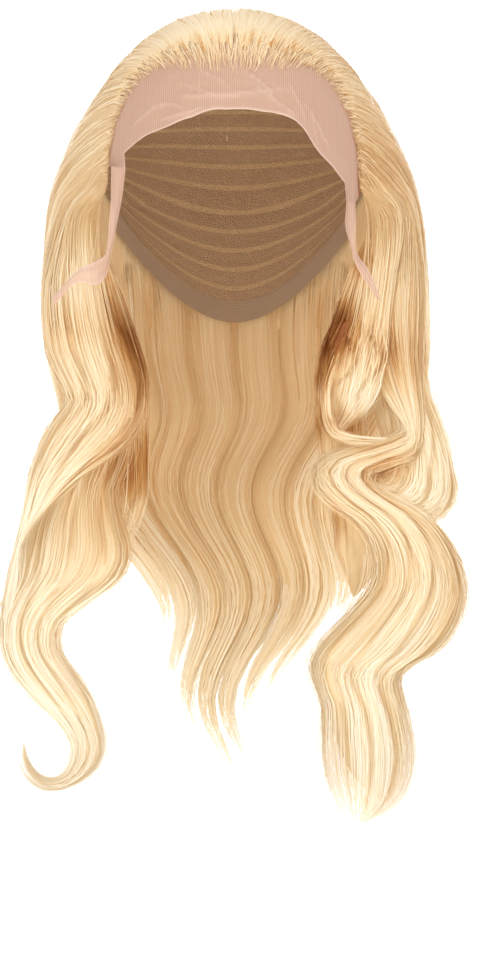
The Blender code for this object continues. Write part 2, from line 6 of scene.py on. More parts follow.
# %% Load the frame
import bmesh
import bpy
import numpy as np
from math import pi, radians
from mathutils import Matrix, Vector


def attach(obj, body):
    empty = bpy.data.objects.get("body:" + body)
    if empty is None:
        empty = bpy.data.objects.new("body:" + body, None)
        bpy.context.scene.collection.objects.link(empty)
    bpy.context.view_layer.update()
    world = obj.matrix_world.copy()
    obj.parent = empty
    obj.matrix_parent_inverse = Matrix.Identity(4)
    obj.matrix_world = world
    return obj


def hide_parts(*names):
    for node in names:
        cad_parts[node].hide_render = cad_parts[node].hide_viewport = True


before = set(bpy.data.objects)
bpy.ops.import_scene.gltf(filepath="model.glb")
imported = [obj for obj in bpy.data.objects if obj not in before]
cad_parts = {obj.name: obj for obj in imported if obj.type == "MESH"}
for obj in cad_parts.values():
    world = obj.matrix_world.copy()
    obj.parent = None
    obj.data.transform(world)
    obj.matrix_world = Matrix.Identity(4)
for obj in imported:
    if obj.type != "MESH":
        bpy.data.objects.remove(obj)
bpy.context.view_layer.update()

# %% [markdown]
# The camera comes first, since it settles what must be fine and what may be coarse. It looks
# straight along +Y from the height of the jaw. The stage is a pale floor that curves up into a
# wall, as a roll of paper does, so no horizon shows.

# %% Camera
CAMERA_PLACE = (0.0089, -1.8, -0.259)
CAMERA_LENS, SENSOR_WIDTH = 119.3, 36.0


def put_object(name, data):
    """Put an object with the given data into the scene."""
    thing = bpy.data.objects.new(name, data)
    bpy.context.collection.objects.link(thing)
    return thing


camera_data = bpy.data.cameras.new("camera")
camera_data.lens = CAMERA_LENS
camera_data.sensor_width = SENSOR_WIDTH
camera_data.clip_start = 0.05
camera = put_object("camera", camera_data)
camera.location = CAMERA_PLACE
camera.rotation_euler = (pi / 2, 0, 0)
bpy.context.scene.camera = camera
bpy.context.scene.view_settings.view_transform = "Standard"
print("camera at", CAMERA_PLACE)

# %% [markdown]
# Every mesh goes through one small helper. It takes whole arrays of points and of faces with four
# corners, with a UV place and one number called tone for each point. Tone later picks the shade of
# the hair, from brown at 0 to cream at 1.


# %% Mesh helper
def put_mesh(name, points, quads, finish, uv, tone):
    """Make a smooth object from points (n, 3), faces (m, 4), one finish, a UV and a tone for each point."""
    mesh = bpy.data.meshes.new(name)
    mesh.vertices.add(len(points))
    mesh.vertices.foreach_set("co", points.astype(np.float32).ravel())
    mesh.loops.add(quads.size)
    mesh.loops.foreach_set("vertex_index", quads.astype(np.int32).ravel())
    mesh.polygons.add(len(quads))
    mesh.polygons.foreach_set("loop_start", np.arange(0, quads.size, 4, dtype=np.int32))
    mesh.polygons.foreach_set("use_smooth", np.ones(len(quads), bool))
    mesh.update(calc_edges=True)
    mesh.uv_layers.new(name="flow").data.foreach_set("uv", uv[quads.ravel()].astype(np.float32).ravel())
    mesh.attributes.new("tone", "FLOAT", "POINT").data.foreach_set("value", tone.astype(np.float32).ravel())
    mesh.materials.append(finish)
    thing = put_object(name, mesh)
    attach(thing, "root")
    return thing


def grid_quads(rows, columns, wrap=False):
    """Faces of a grid of points: corner, next in the row, next row. wrap joins last column and first."""
    i, j = np.meshgrid(np.arange(rows - 1), np.arange(columns - (not wrap)), indexing="ij")
    k = (j + 1) % columns
    quads = np.stack([i * columns + j, i * columns + k, (i + 1) * columns + k, (i + 1) * columns + j], axis=-1)
    return quads.reshape(-1, 4)


def even(count):
    """Even steps from 0 to 1, as one row."""
    return np.linspace(0, 1, count)[None, :]


def smoothstep(x):
    """Ease from 0 to 1 with level ends: 3 x^2 - 2 x^3 of x kept between 0 and 1."""
    x = np.clip(x, 0, 1)
    return x * x * (3 - 2 * x)


def unit(vectors):
    """Each vector divided by its length."""
    return vectors / np.maximum(np.linalg.norm(vectors, axis=-1, keepdims=True), 1e-9)


# %% [markdown]
# The cap fits a head form: a rounded dome whose walls run straight down below its widest level.
# Two numbers place a point on it, as on a flat map with the crown at its middle. The hair's outer
# face is a larger ellipsoid round the same middle, and a share between 0 and 1 tells how far a
# point lies from the cap to that face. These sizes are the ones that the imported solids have.

# %% Head form and hair form
HEAD_HALF, HEAD_FRONT, HEAD_BACK, CROWN_DROP = 0.076, 0.090, 0.100, 0.095
HEAD_ROUND, NECK_TAPER = 2.3, 0.10
HAIR_SEAT = 0.0026
HAIR_TOP, HAIR_HEIGHT, HAIR_HALF, HAIR_FRONT, HAIR_BACK = 0.0105, 0.1605, 0.109, 0.104, 0.122
RING_DROP, FALL, LOCK_DEPTH = 0.165, 0.281, 0.020
RING_SHARE = 1 + (RING_DROP / CROWN_DROP - 1) / (pi / 2)


def ring_place(turn, away=RING_SHARE):
    """Place on the flat map at a turn from the face, as far from the crown as the ring of the hair is."""
    return away * np.sin(turn), -away * np.cos(turn)


def head_point(a, b, lift):
    """Point on the head form grown by lift: ring sin^(2/n), level 1 - cos^(2/n) of the way down."""
    away = np.hypot(a, b)
    turn = np.arctan2(a, -b)
    quarter = np.clip(away, 0, 1) * pi / 2
    below = np.clip(away - 1, 0, None)
    ring = np.sin(quarter) ** (2 / HEAD_ROUND) * (1 - NECK_TAPER * below ** 2)
    level = 1 - np.cos(quarter) ** (2 / HEAD_ROUND)
    reach = np.where(np.cos(turn) > 0, HEAD_FRONT, HEAD_BACK)
    x = (HEAD_HALF + lift) * ring * np.sin(turn)
    y = -(reach + lift) * ring * np.cos(turn)
    z = lift - (CROWN_DROP + lift) * level - CROWN_DROP * pi / 2 * below
    return np.stack([x, y, z], axis=-1)


def map_place(across, down):
    """Place on the flat map of a point given by its share across the head and below the crown."""
    level = np.clip(1 - down, 0, 1)
    dome = np.arccos(level ** (HEAD_ROUND / 2)) / (pi / 2)
    away = np.where(down < 1, dome, 1 + (down - 1) / (pi / 2))
    ring = np.sin(np.clip(away, 0, 1) * pi / 2) ** (2 / HEAD_ROUND)
    side = np.clip(across / ring, -0.97, 0.97)
    return away * side, -away * np.sqrt(1 - side ** 2)


def hair_point(a, b, share, seat=HAIR_SEAT):
    """Point between the cap (share 0) and the hair's outer face (share 1), on a ray from the middle."""
    inner = head_point(a, b, seat)
    x, y, z = inner[..., 0], inner[..., 1], inner[..., 2]
    reach = np.where(y < 0, HAIR_FRONT, HAIR_BACK)
    middle = HAIR_TOP - HAIR_HEIGHT
    rise = (-CROWN_DROP - middle) / HAIR_HEIGHT
    up = np.clip(z + CROWN_DROP, 0, None)
    square = (x / HAIR_HALF) ** 2 + (y / reach) ** 2 + (up / HAIR_HEIGHT) ** 2
    linear = 2 * rise * up / HAIR_HEIGHT
    dome = (-linear + np.sqrt(linear ** 2 - 4 * square * (rise ** 2 - 1))) / (2 * square)
    height = np.clip((z - middle) / HAIR_HEIGHT, 0, 1)
    wall = np.sqrt(1 - height ** 2) / np.sqrt((x / HAIR_HALF) ** 2 + (y / reach) ** 2)
    scale = 1 + (np.maximum(np.where(z > -CROWN_DROP, dome, wall), 1.01) - 1) * share
    outer_z = np.where(z > -CROWN_DROP, -CROWN_DROP + up * scale, z)
    return np.stack([x * scale, y * scale, outer_z], axis=-1)


print("ring of the hair at share", round(RING_SHARE, 3))

# %% [markdown]
# Hair is combed, so strands never cross much. Strand 0 starts over the forehead and ends at the
# nape, strand 1 or -1 starts and ends in front of an ear. On the flat map each is a parabola from
# the hairline to a level ring at jaw height, drawn backwards in its middle.

# %% Combed hair over the head
HAIRLINE = {
    "along": (0.00, 0.22, 0.40, 0.50, 0.60, 0.72, 0.85, 1.00),
    "across": (0.00, 0.28, 0.55, 0.67, 0.75, 0.82, 0.865, 0.885),
    "down": (0.33, 0.325, 0.335, 0.40, 0.50, 0.62, 0.78, 1.02),
}
SWEEP, RING_FRONT_TURN = 0.25, 58.0
ROOT_SHARE, FILL_RUN = 0.10, 0.38
GROOVES, GROOVE_SHARE, GROOVE_SHARPNESS = 9, 0.16, 8
ROOT_SINK, ROOT_RUN = 0.0012, 0.06


def comb_place(t, v):
    """Place on the flat map of strand t at share v of its way: a parabola with its pull point set back."""
    size = np.abs(t)
    root_a, root_b = map_place(np.interp(size, HAIRLINE["along"], HAIRLINE["across"]),
                               np.interp(size, HAIRLINE["along"], HAIRLINE["down"]))
    turn = np.radians(180 - (180 - RING_FRONT_TURN) * size)
    ring_a, ring_b = ring_place(turn)

    def bend(first, pull, last):
        """Parabola from first to last that is drawn to pull."""
        return (1 - v) ** 2 * first + 2 * v * (1 - v) * pull + v ** 2 * last

    across = np.sign(t) * bend(root_a, (root_a + ring_a) / 2, ring_a)
    return across, bend(root_b, (root_b + ring_b) / 2 + SWEEP, ring_b)


def combed_point(t, v, share):
    """Point of strand t at v, at a share of the hair's depth there, which grows from the root on."""
    a, b = comb_place(t, v)
    full = smoothstep(v / FILL_RUN)
    dip = np.cos(pi * GROOVES * t) ** GROOVE_SHARPNESS
    near_face = np.clip((np.abs(t) - 0.72) / 0.30, 0, 1)
    edge = np.sqrt(np.maximum(1 - near_face ** 2, 0.06))
    fill = (ROOT_SHARE + (1 - ROOT_SHARE) * full) * (1 - GROOVE_SHARE * dip * full) * edge
    return hair_point(a, b, fill * share, HAIR_SEAT - ROOT_SINK * (1 - smoothstep(v / ROOT_RUN)))


# %% [markdown]
# Below the ring the hair hangs in locks. A lock is a loft: each row of its table gives the two
# edges of a flat oval, how far forward its middle is, and how deep it is. A point inside has the
# place (dx, dy) in the oval, from -1 to 1, so a strand can keep its place all the way down a curl.

# %% Tables of the locks
# columns, in thousandths of the named sizes: outer across, outer down, inner across, inner down,
# forward, deep
LOCKS = {
    "front_fall_left": (
        (-980, 0, -520, 0, 330, 1050), (-960, 66, -460, 66, 370, 1100), (-900, 115, -420, 120, 410, 1050),
        (-840, 158, -420, 173, 440, 1000), (-880, 187, -450, 217, 460, 950), (-950, 225, -530, 256, 470, 900),
        (-1000, 272, -640, 283, 480, 850), (-1030, 318, -780, 318, 490, 700), (-1040, 366, -900, 362, 490, 550),
        (-1060, 410, -990, 399, 480, 350), (-1090, 449, -1060, 443, 470, 120), (-1130, 510, -1050, 500, 460, 220),
        (-1165, 590, -1070, 580, 470, 200), (-1140, 650, -1050, 645, 480, 120),
    ),
    "hook_wave_left": (
        (-980, 0, -730, 0, -110, 800), (-940, 99, -620, 99, -70, 750), (-880, 199, -510, 209, 20, 700),
        (-910, 278, -530, 282, 90, 750), (-950, 337, -580, 337, 160, 750), (-1030, 392, -540, 396, 220, 800),
        (-1080, 444, -490, 460, 290, 850), (-1100, 496, -550, 512, 340, 850), (-1140, 546, -740, 562, 390, 800),
        (-1170, 592, -840, 596, 410, 800), (-1160, 643, -850, 646, 420, 800), (-1110, 689, -790, 681, 430, 750),
        (-1000, 737, -700, 731, 440, 700), (-900, 774, -650, 781, 440, 600), (-820, 814, -630, 824, 440, 500),
        (-810, 849, -650, 862, 440, 450), (-840, 880, -740, 897, 440, 400), (-900, 891, -870, 918, 440, 350),
        (-960, 886, -980, 913, 440, 300), (-1010, 864, -1050, 886, 440, 250), (-1030, 841, -1080, 853, 440, 200),
        (-1040, 816, -1060, 812, 440, 70),
    ),
    "neck_lock_left": (
        (-720, 0, -530, 0, -130, 700), (-660, 98, -440, 98, -200, 650), (-640, 197, -430, 197, -240, 600),
        (-630, 287, -430, 287, -220, 600), (-620, 357, -440, 357, -180, 550), (-630, 417, -490, 417, -130, 450),
        (-620, 460, -560, 460, -90, 200),
    ),
    "front_fall_right": (
        (790, 0, 500, 0, 360, 950), (780, 56, 440, 56, 370, 950), (760, 101, 410, 101, 380, 900),
        (730, 147, 400, 143, 390, 800), (670, 182, 410, 178, 400, 650), (590, 209, 430, 209, 400, 400),
        (520, 233, 460, 233, 400, 150),
    ),
    "loop_lock_right": (
        (620, 0, 500, 0, 400, 400), (570, 60, 450, 60, 440, 300), (510, 105, 430, 105, 500, 200),
        (480, 135, 420, 135, 540, 150), (480, 168, 420, 174, 570, 220), (490, 199, 430, 211, 580, 220),
        (520, 218, 470, 237, 580, 220), (580, 228, 570, 251, 570, 220), (680, 233, 680, 253, 540, 200),
        (780, 235, 780, 247, 510, 100),
    ),
    "outer_fall_right": (
        (1010, 0, 680, 0, -90, 1000), (1000, 60, 680, 60, -30, 1000), (990, 110, 690, 115, 60, 1000),
        (1006, 159, 698, 163, 140, 950), (1053, 208, 715, 208, 210, 900), (1095, 261, 740, 251, 270, 800),
        (1123, 312, 720, 275, 310, 800), (1126, 351, 710, 286, 340, 800), (1090, 382, 700, 293, 370, 750),
        (1009, 399, 690, 298, 380, 650), (889, 384, 670, 302, 390, 500), (769, 366, 640, 306, 390, 400),
        (639, 349, 589, 308, 390, 300), (509, 329, 489, 304, 390, 150),
    ),
    "cross_wave_right": (
        (970, 0, 600, 0, 220, 550), (950, 70, 660, 70, 280, 500), (950, 140, 720, 130, 360, 420),
        (950, 210, 800, 180, 430, 300), (920, 270, 850, 218, 470, 150), (830, 285, 690, 243, 470, 400),
        (760, 295, 530, 258, 470, 550), (710, 302, 420, 275, 460, 600), (700, 314, 380, 300, 440, 650),
        (740, 331, 400, 329, 440, 700), (830, 351, 480, 362, 440, 750), (960, 380, 580, 389, 440, 800),
        (1060, 420, 660, 426, 430, 800), (1130, 465, 690, 472, 420, 850), (1170, 515, 670, 521, 420, 850),
        (1170, 558, 590, 561, 420, 850), (1120, 608, 480, 604, 420, 800), (1030, 650, 390, 643, 420, 750),
        (880, 681, 360, 675, 420, 700), (840, 706, 380, 710, 420, 650), (870, 751, 420, 747, 420, 700),
        (900, 798, 420, 798, 410, 700), (920, 844, 420, 844, 400, 700), (900, 899, 440, 891, 390, 600),
        (840, 942, 490, 938, 380, 450), (730, 971, 550, 969, 370, 300), (650, 985, 610, 985, 370, 100),
    ),
    "neck_lock_right": (
        (660, 0, 530, 0, 50, 700), (650, 99, 420, 99, 50, 650), (660, 199, 410, 199, 50, 650),
        (670, 278, 430, 274, 60, 600), (740, 357, 470, 357, 80, 600), (770, 416, 490, 416, 90, 600),
        (770, 475, 500, 467, 100, 600), (720, 524, 530, 518, 130, 450), (640, 560, 540, 552, 180, 250),
        (570, 584, 530, 580, 200, 100),
    ),
}
RIDGES = {  # grooves across half the width of a lock
    "front_fall_left": 1.7, "hook_wave_left": 1.9, "neck_lock_left": 0.8, "front_fall_right": 1.4,
    "loop_lock_right": 0.6, "outer_fall_right": 1.8, "cross_wave_right": 2.1, "neck_lock_right": 1.0,
}
MANE = {
    # fall as a share of the longest, depth as a share
    "mane_lock_1": (0.66, 1.00), "mane_lock_2": (0.78, 0.92), "mane_lock_3": (0.90, 1.00),
    "mane_lock_4": (1.00, 0.94), "mane_lock_5": (0.98, 1.00), "mane_lock_6": (0.88, 0.92),
    "mane_lock_7": (0.80, 1.00), "mane_lock_8": (0.64, 0.94),
}
MANE_FALL, MANE_DEPTH, MANE_WAVE, MANE_WAVES, MANE_SWAY, MANE_GATHER = 0.262, 0.0098, 0.011, 2.1, 0.012, 0.62
MANE_TURN, MANE_OVERLAP, MANE_TIP = 72.0, 1.17, 0.985
LOCK_STEPS, FOLD_DEPTH = 240, 0.26
print("locks:", len(LOCKS), "in front,", len(MANE), "down the back")

# %% [markdown]
# A smooth curve through the rows of a table (Catmull-Rom) gives the lock at any share of its
# length. It is worked out once at 240 steps, and a strand reads it by interpolation. Long folds
# divide each front lock, and their places wander a little down its length.


# %% Places inside a lock
def smooth_rows(rows, count):
    """Carry each column smoothly (Catmull-Rom) through its rows, at count even steps."""
    rows = np.asarray(rows, dtype=float)
    last = len(rows) - 1
    place = np.linspace(0, last, count)
    base = np.minimum(place.astype(int), last - 1)
    part = (place - base)[:, None]
    before, here = rows[np.maximum(base - 1, 0)], rows[base]
    there, after = rows[base + 1], rows[np.minimum(base + 2, last)]
    bend = 2 * before - 5 * here + 4 * there - after
    twist = 3 * (here - there) + after - before
    return here + 0.5 * part * (there - before + part * (bend + part * twist))


def groove(name, s, dx):
    """Depth of the long folds that divide a lock into smaller ones: exp(3 (cos of their place - 1))."""
    fold = np.cos(2 * pi * (RIDGES[name] * dx + 0.35 * np.sin(4 * pi * s) + 0.2))
    return np.exp(3.0 * (fold - 1)) * smoothstep(5 * s)


def front_lock(name):
    """Function that places (s, dx, dy) inside a front lock: middle + half * dx, depth * dy to the front."""
    rows = smooth_rows(np.array(LOCKS[name]) / 1000, LOCK_STEPS)
    outer = np.stack([HAIR_HALF * rows[:, 0], -RING_DROP - FALL * rows[:, 1]], axis=1)
    inner = np.stack([HAIR_HALF * rows[:, 2], -RING_DROP - FALL * rows[:, 3]], axis=1)
    middle, half = (outer + inner) / 2, (outer - inner) / 2
    deepest = LOCK_DEPTH * np.maximum(rows[:, 5], 0.05)
    columns = np.column_stack([middle, half, -HEAD_FRONT * rows[:, 4], deepest])
    steps = np.linspace(0, 1, LOCK_STEPS)
    length = np.concatenate([[0], np.cumsum(np.hypot(*np.diff(middle, axis=0).T))])
    length = length / length[-1]

    def place(s, dx, dy):
        """Point at share s of the lock's length."""
        at = np.interp(s, length, steps)
        mx, mz, hx, hz, y, deep = (np.interp(at, steps, columns[:, k]) for k in range(6))
        deep = deep * (1 - FOLD_DEPTH * groove(name, s, dx))
        return np.stack([mx + hx * dx, y - deep * dy, mz + hz * dx], axis=-1)

    return place


def back_lock(name):
    """Function that places (s, dx, dy) inside a lock down the back: dx turns round the head, dy goes out."""
    fall, deep = MANE[name]
    width = radians(MANE_TURN) * 2 / len(MANE)
    middle_turn = pi + radians(MANE_TURN) - (int(name[-1]) - 0.5) * width

    def place(s, dx, dy):
        """Point at share s of the lock's length: straight down with a wave, narrower at the tip."""
        down = fall * s
        tip = np.sqrt(np.maximum(1 - MANE_TIP * s ** 5, 0))
        turn = middle_turn - width / 2 * MANE_OVERLAP * tip * dx + 0 * s
        a, b = ring_place(turn)
        middle = (hair_point(a, b, 0.0) + hair_point(a, b, 1.0)) / 2
        gather = 1 - MANE_GATHER * smoothstep(down)
        wave = MANE_WAVE * np.sin(2 * pi * MANE_WAVES * down) * smoothstep(3 * down)
        depth = MANE_DEPTH * deep * tip * dy
        x = middle[..., 0] * gather + wave + np.sin(turn) * depth
        y = middle[..., 1] - MANE_SWAY * down - np.cos(turn) * depth
        return np.stack([x, y, -RING_DROP - MANE_FALL * down + 0 * x], axis=-1)

    return place


PLACES = {name: front_lock(name) for name in LOCKS} | {name: back_lock(name) for name in MANE}
print("places ready for", len(PLACES), "locks")

# %% [markdown]
# A strand of a real wig is knotted to the lace or the net, runs over the head, and then becomes
# part of a lock. So each path here has two parts. The first follows the comb down to the ring,
# and over its last two thirds it drifts to the place where its lock takes over. It never sinks
# below a least share of the hair's depth, or it would show inside the cap.

# %% One path from the root to the tip
MERGE_FROM, LIFT_RUN, LEAST_SHARE = 0.35, 0.16, 0.17


def ring_share(top):
    """Strand number and share of the hair's depth at which a point lies in the ring."""
    x, y = top[..., 0], top[..., 1]
    reach = np.where(y < 0, HEAD_FRONT, HEAD_BACK) + HAIR_SEAT
    turn = np.arctan2(x / (HEAD_HALF + HAIR_SEAT), -y / reach)
    a, b = ring_place(turn)
    low = np.linalg.norm(hair_point(a, b, 0.0)[..., :2], axis=-1)
    high = np.linalg.norm(hair_point(a, b, 1.0)[..., :2], axis=-1)
    size = (180 - np.degrees(np.abs(turn))) / (180 - RING_FRONT_TURN)
    return np.sign(turn) * np.clip(size, 0.0, 1.0), (np.hypot(x, y) - low) / (high - low)


def hair_path(place, dx, dy, t, share, start, stop, steps):
    """Points of the paths (n, steps, 3): over the head from start, then down the lock to stop.

    dx and dy are arrays (n, steps) with the place in the lock, t and share the strand on the head.
    """
    head_steps, fall_steps = steps
    way = np.linspace(0, 1, head_steps, endpoint=False) ** 1.15
    v = start[:, None] + (1 - start[:, None]) * way
    rise = 0.02 + 0.98 * smoothstep((v - start[:, None]) / LIFT_RUN)
    least = LEAST_SHARE * smoothstep(v / 0.2) * smoothstep((1.0 - v) / 0.15)
    head = combed_point(t[:, :head_steps], v, np.maximum(share[:, None] * rise, least))
    join = slice(head_steps, head_steps + 1)
    ring = combed_point(t[:, join], np.ones((len(dx), 1)), share[:, None])
    top = place(np.zeros((len(dx), 1)), dx[:, join], dy[:, join])
    head = head + (top - ring) * smoothstep((v - MERGE_FROM) / (1 - MERGE_FROM))[..., None]
    s = np.linspace(0, 1, fall_steps) * stop[:, None]
    fall = place(s, dx[:, head_steps:], dy[:, head_steps:])
    path = np.concatenate([head, fall], axis=1)
    near = np.exp(-((np.arange(1, sum(steps) - 1) - head_steps) / 1.6) ** 2)[None, :, None]
    for _ in range(2):
        path[:, 1:-1] += 0.5 * near * (0.5 * path[:, :-2] - path[:, 1:-1] + 0.5 * path[:, 2:])
    return path


# %% [markdown]
# Blonde hair is cream where light reaches the outer strands and amber deep inside and next to the
# face, where it lies in shade; that shade is painted into the tone. These round places, found by
# looking at the photograph, tell where a lock is painted darker as deeper in shade, also where the
# missing face and neck would shade it. One of them is below 0, a painted highlight where the crown is paler.

# %% Painted shade of the hair
PAINTED_SHADE_PLACES = (
    # columns: x and z of the middle, radius, how much darker (painted shade)
    # left side: inner edge, beside the face, bends, bulge and pocket
    (-0.051, -0.174, 0.011, 0.36), (-0.047, -0.190, 0.012, 0.24), (-0.044, -0.208, 0.011, 0.14),
    (-0.045, -0.230, 0.010, 0.22), (-0.060, -0.170, 0.022, 0.28), (-0.062, -0.142, 0.014, 0.26),
    (-0.058, -0.204, 0.016, 0.16), (-0.090, -0.172, 0.014, 0.20), (-0.078, -0.108, 0.024, 0.10),
    (-0.084, -0.238, 0.034, 0.08), (-0.056, -0.249, 0.018, 0.38), (-0.080, -0.275, 0.022, 0.08),
    # right side: the same, with the loop, the scoop and the brush
    (0.055, -0.165, 0.012, 0.30), (0.050, -0.183, 0.012, 0.38), (0.046, -0.200, 0.010, 0.34),
    (0.046, -0.222, 0.011, 0.30), (0.055, -0.170, 0.017, 0.34), (0.066, -0.136, 0.013, 0.40),
    (0.089, -0.098, 0.034, 0.18), (0.080, -0.070, 0.024, 0.14), (0.088, -0.188, 0.020, 0.34),
    (0.100, -0.290, 0.036, 0.09), (0.074, -0.372, 0.026, 0.08), (0.062, -0.222, 0.009, 0.45),
    (0.052, -0.276, 0.012, 0.30), (0.079, -0.246, 0.016, 0.30), (0.086, -0.165, 0.024, 0.12),
    # crown: a painted highlight over the top (below 0), and painted shade to its right
    (0.000, -0.004, 0.050, -0.07), (0.040, -0.018, 0.030, 0.14),
)


def painted_shade_at(points):
    """Painted shade: sum over the places of amount * exp(-(distance / radius)^2), seen from the front."""
    spots = np.array(PAINTED_SHADE_PLACES)
    away = (points[..., 0:1] - spots[:, 0]) ** 2 + (points[..., 2:3] - spots[:, 1]) ** 2
    front = smoothstep((0.05 - points[..., 1]) / 0.04)
    return (spots[:, 3] * np.exp(-away / spots[:, 2] ** 2)).sum(axis=-1) * front


print("shade places:", len(PAINTED_SHADE_PLACES))

# %% [markdown]
# Strands gather in clumps, and a clump parts and joins again on its way. Each strand is drawn to
# the middle of its clump by an amount that swells and fades, then wanders a little by itself.

# %% Fields of strands
CLUMP_PULL, PULL_SWING, MOST_PULL = 0.15, 0.24, 0.55
WANDER, TURN_WANDER, FRIZZ, STRAY_FRIZZ = 0.07, 0.006, 0.00022, 4.0
TONE, DEPTH_PAINTED_SHADE, TONE_SPREAD = 0.66, 0.28, 0.045
ROOT_DARK, TIP_PALE, FOLD_PAINTED_SHADE, MANE_PAINTED_SHADE, NECK_PAINTED_SHADE = 0.24, 0.22, 0.13, 0.17, 0.10
OVER_SHARE, CROSSING_SHARE, ROOTED, RIM_SHARE = 0.6, 0.3, 0.35, 0.15
dice = np.random.default_rng(7)


def slow_wave(count, steps, size, turns):
    """Smooth random curve for each strand: three sine waves with random phases."""
    paces, sizes = (np.array(row)[:, None, None] for row in ((0.6, 1.0, 1.7), (0.6, 0.3, 0.2)))
    phase = dice.uniform(0, 2 * pi, (3, count, 1))
    pace = paces * turns * dice.uniform(0.7, 1.3, (3, count, 1))
    return size * (np.sin(2 * pi * pace * even(steps) + phase) * sizes).sum(axis=0)


def inner_painted_shade(name, dy):
    """Painted shade: how much darker a point of a lock is on the side that faces the neck, and in the locks beside
    the neck.
    """
    if name in MANE:
        return MANE_PAINTED_SHADE * smoothstep((0.3 - dy) / 0.7)
    return NECK_PAINTED_SHADE + 0 * dy if "neck" in name else 0 * dy


def ring_places(name, count):
    """Place (dx, dy) in the lock at the ring, strand number t and share of the hair's depth, for each strand.

    The first strands are spread over the hair of the head, and the others over the lock's own oval.
    """
    place = PLACES[name]
    at_one_rim = dice.uniform(0, 1, count) < RIM_SHARE
    angle = np.where(at_one_rim, dice.uniform(2.5, 3.8, count), dice.uniform(0, 2 * pi, count))
    radius = 1 - 0.50 * dice.uniform(0, 1, count) ** 2.6
    dx, dy = radius * np.cos(angle), radius * np.sin(angle)
    t, share = ring_share(place(np.zeros(count), dx, dy))
    around = np.linspace(0, 2 * pi, 64)
    edge_t, _ = ring_share(place(np.zeros(64), np.cos(around), np.sin(around)))
    many = int(count * (CROSSING_SHARE if name == "cross_wave_right" else OVER_SHARE))
    low, high = edge_t.min(), edge_t.max()
    if name.startswith("front_fall"):
        low, high = (-0.995, high) if low < 0 else (low, 0.995)
    t[:many] = dice.uniform(low, high, many)
    share[:many] = 1 - 0.45 * dice.uniform(0, 1, many) ** 1.5
    ring = combed_point(t[:many], np.ones(many), share[:many])
    middle, east, front = (place(np.zeros(1), *at) for at in ((0.0, 0.0), (1.0, 0.0), (0.0, 1.0)))
    for values, axis in ((dx, east - middle), (dy, front - middle)):
        values[:many] = ((ring - middle) * axis).sum(-1) / (axis ** 2).sum()
    size = np.hypot(dx, dy)
    keep = np.where(size > 0.98, 0.98 / np.maximum(size, 1e-6) * dice.uniform(0.85, 1.0, count), 1.0)
    return dx * keep, dy * keep, t, np.clip(share, 0.08, 1.0)


def strand_paths(name, count, steps, loose, clumps, stops, strays):
    """Paths (n, steps, 3) and tones (n, steps) of the strands of one lock."""
    dx, dy, t, share = ring_places(name, count)
    total = sum(steps)
    way = even(total)
    nest = dice.integers(0, count, clumps)
    spread = (dx[:, None] - dx[nest]) ** 2 + (dy[:, None] - dy[nest]) ** 2 + 6 * (t[:, None] - t[nest]) ** 2
    mine = spread.argmin(axis=1)
    pull = np.clip(CLUMP_PULL + slow_wave(clumps, total, PULL_SWING, 2.2), 0, MOST_PULL)[mine] * (0.55 + 0.45 * way)

    def gathered(values, pull, size, turns):
        """Values drawn to the middle of their clump by pull, which then wander by size."""
        drawn = (values[nest[mine]] - values)[:, None] * pull
        return values[:, None] + drawn + slow_wave(count, total, size * loose, turns)

    dx_all, dy_all = gathered(dx, pull, WANDER, 2.0), gathered(dy, pull, WANDER, 2.0)
    size = np.hypot(dx_all, dy_all)
    hold = np.where(size > 1.02, 1.02 / np.maximum(size, 1e-6), 1.0)
    stray = dice.uniform(0, 1, count) < strays
    reach = np.where(stray, dice.uniform(1.05, 1.30, count), 1.0)[:, None]
    hold = hold * reach ** smoothstep(4 * (way - steps[0] / total))
    t_all = gathered(t, 0.5 * pull, TURN_WANDER, 1.5)
    t_all = np.sign(t[:, None]) * np.clip(np.abs(t_all), 0.004, 1.0)
    from_lace = dice.uniform(0, 1, count) < ROOTED
    start = np.where(from_lace, dice.uniform(-0.012, 0.09, count), dice.uniform(0.02, 0.75, count))
    stop = dice.uniform(*stops, count)
    share = share * (1 - 0.25 * start)
    path = hair_path(PLACES[name], dx_all * hold, dy_all * hold, t_all, share, start, stop, steps)
    frizz = FRIZZ * loose * np.where(stray, STRAY_FRIZZ, 1.0)[:, None]
    curls = np.stack([slow_wave(count, total, 1.0, 6.0) * frizz for _ in range(3)], axis=-1)
    path = path + curls * smoothstep(6 * way)[..., None]
    # painted shade: strands deep in a lock are darker and more amber, the outer ones paler
    tone = TONE + DEPTH_PAINTED_SHADE * (np.clip(np.hypot(dx, dy), 0.4, 1) - 0.7)
    tone = tone + dice.normal(0, TONE_SPREAD, clumps)[mine] + dice.normal(0, TONE_SPREAD, count)
    root = ROOT_DARK * np.exp(-way / 0.05) * (start[:, None] < 0.04)
    # painted shade on the side that faces the neck and at the shade places; the roots are darker and the tips paler
    tone = tone[:, None] - inner_painted_shade(name, dy)[:, None] - root
    tone = tone - painted_shade_at(path) * dice.uniform(0.6, 1.4, (count, 1)) + TIP_PALE * smoothstep((way - 0.55) / 0.45)
    # painted shade in the long folds that divide the lock
    if name in RIDGES:
        s = even(steps[1]) * stop[:, None]
        tone[:, steps[0]:] -= FOLD_PAINTED_SHADE * groove(name, s, dx_all[:, steps[0]:])
    return path, np.clip(tone, 0, 1)


def outward(path):
    """Direction away from the middle of the hair, for points over the head and in the locks."""
    middle = path.mean(axis=0, keepdims=True)
    aside = path - middle
    above = path - np.array([0, 0, -CROWN_DROP])
    low = smoothstep((-0.11 - path[..., 2]) / 0.06)[..., None]
    return unit(unit(above) * (1 - low) + unit(aside) * low)


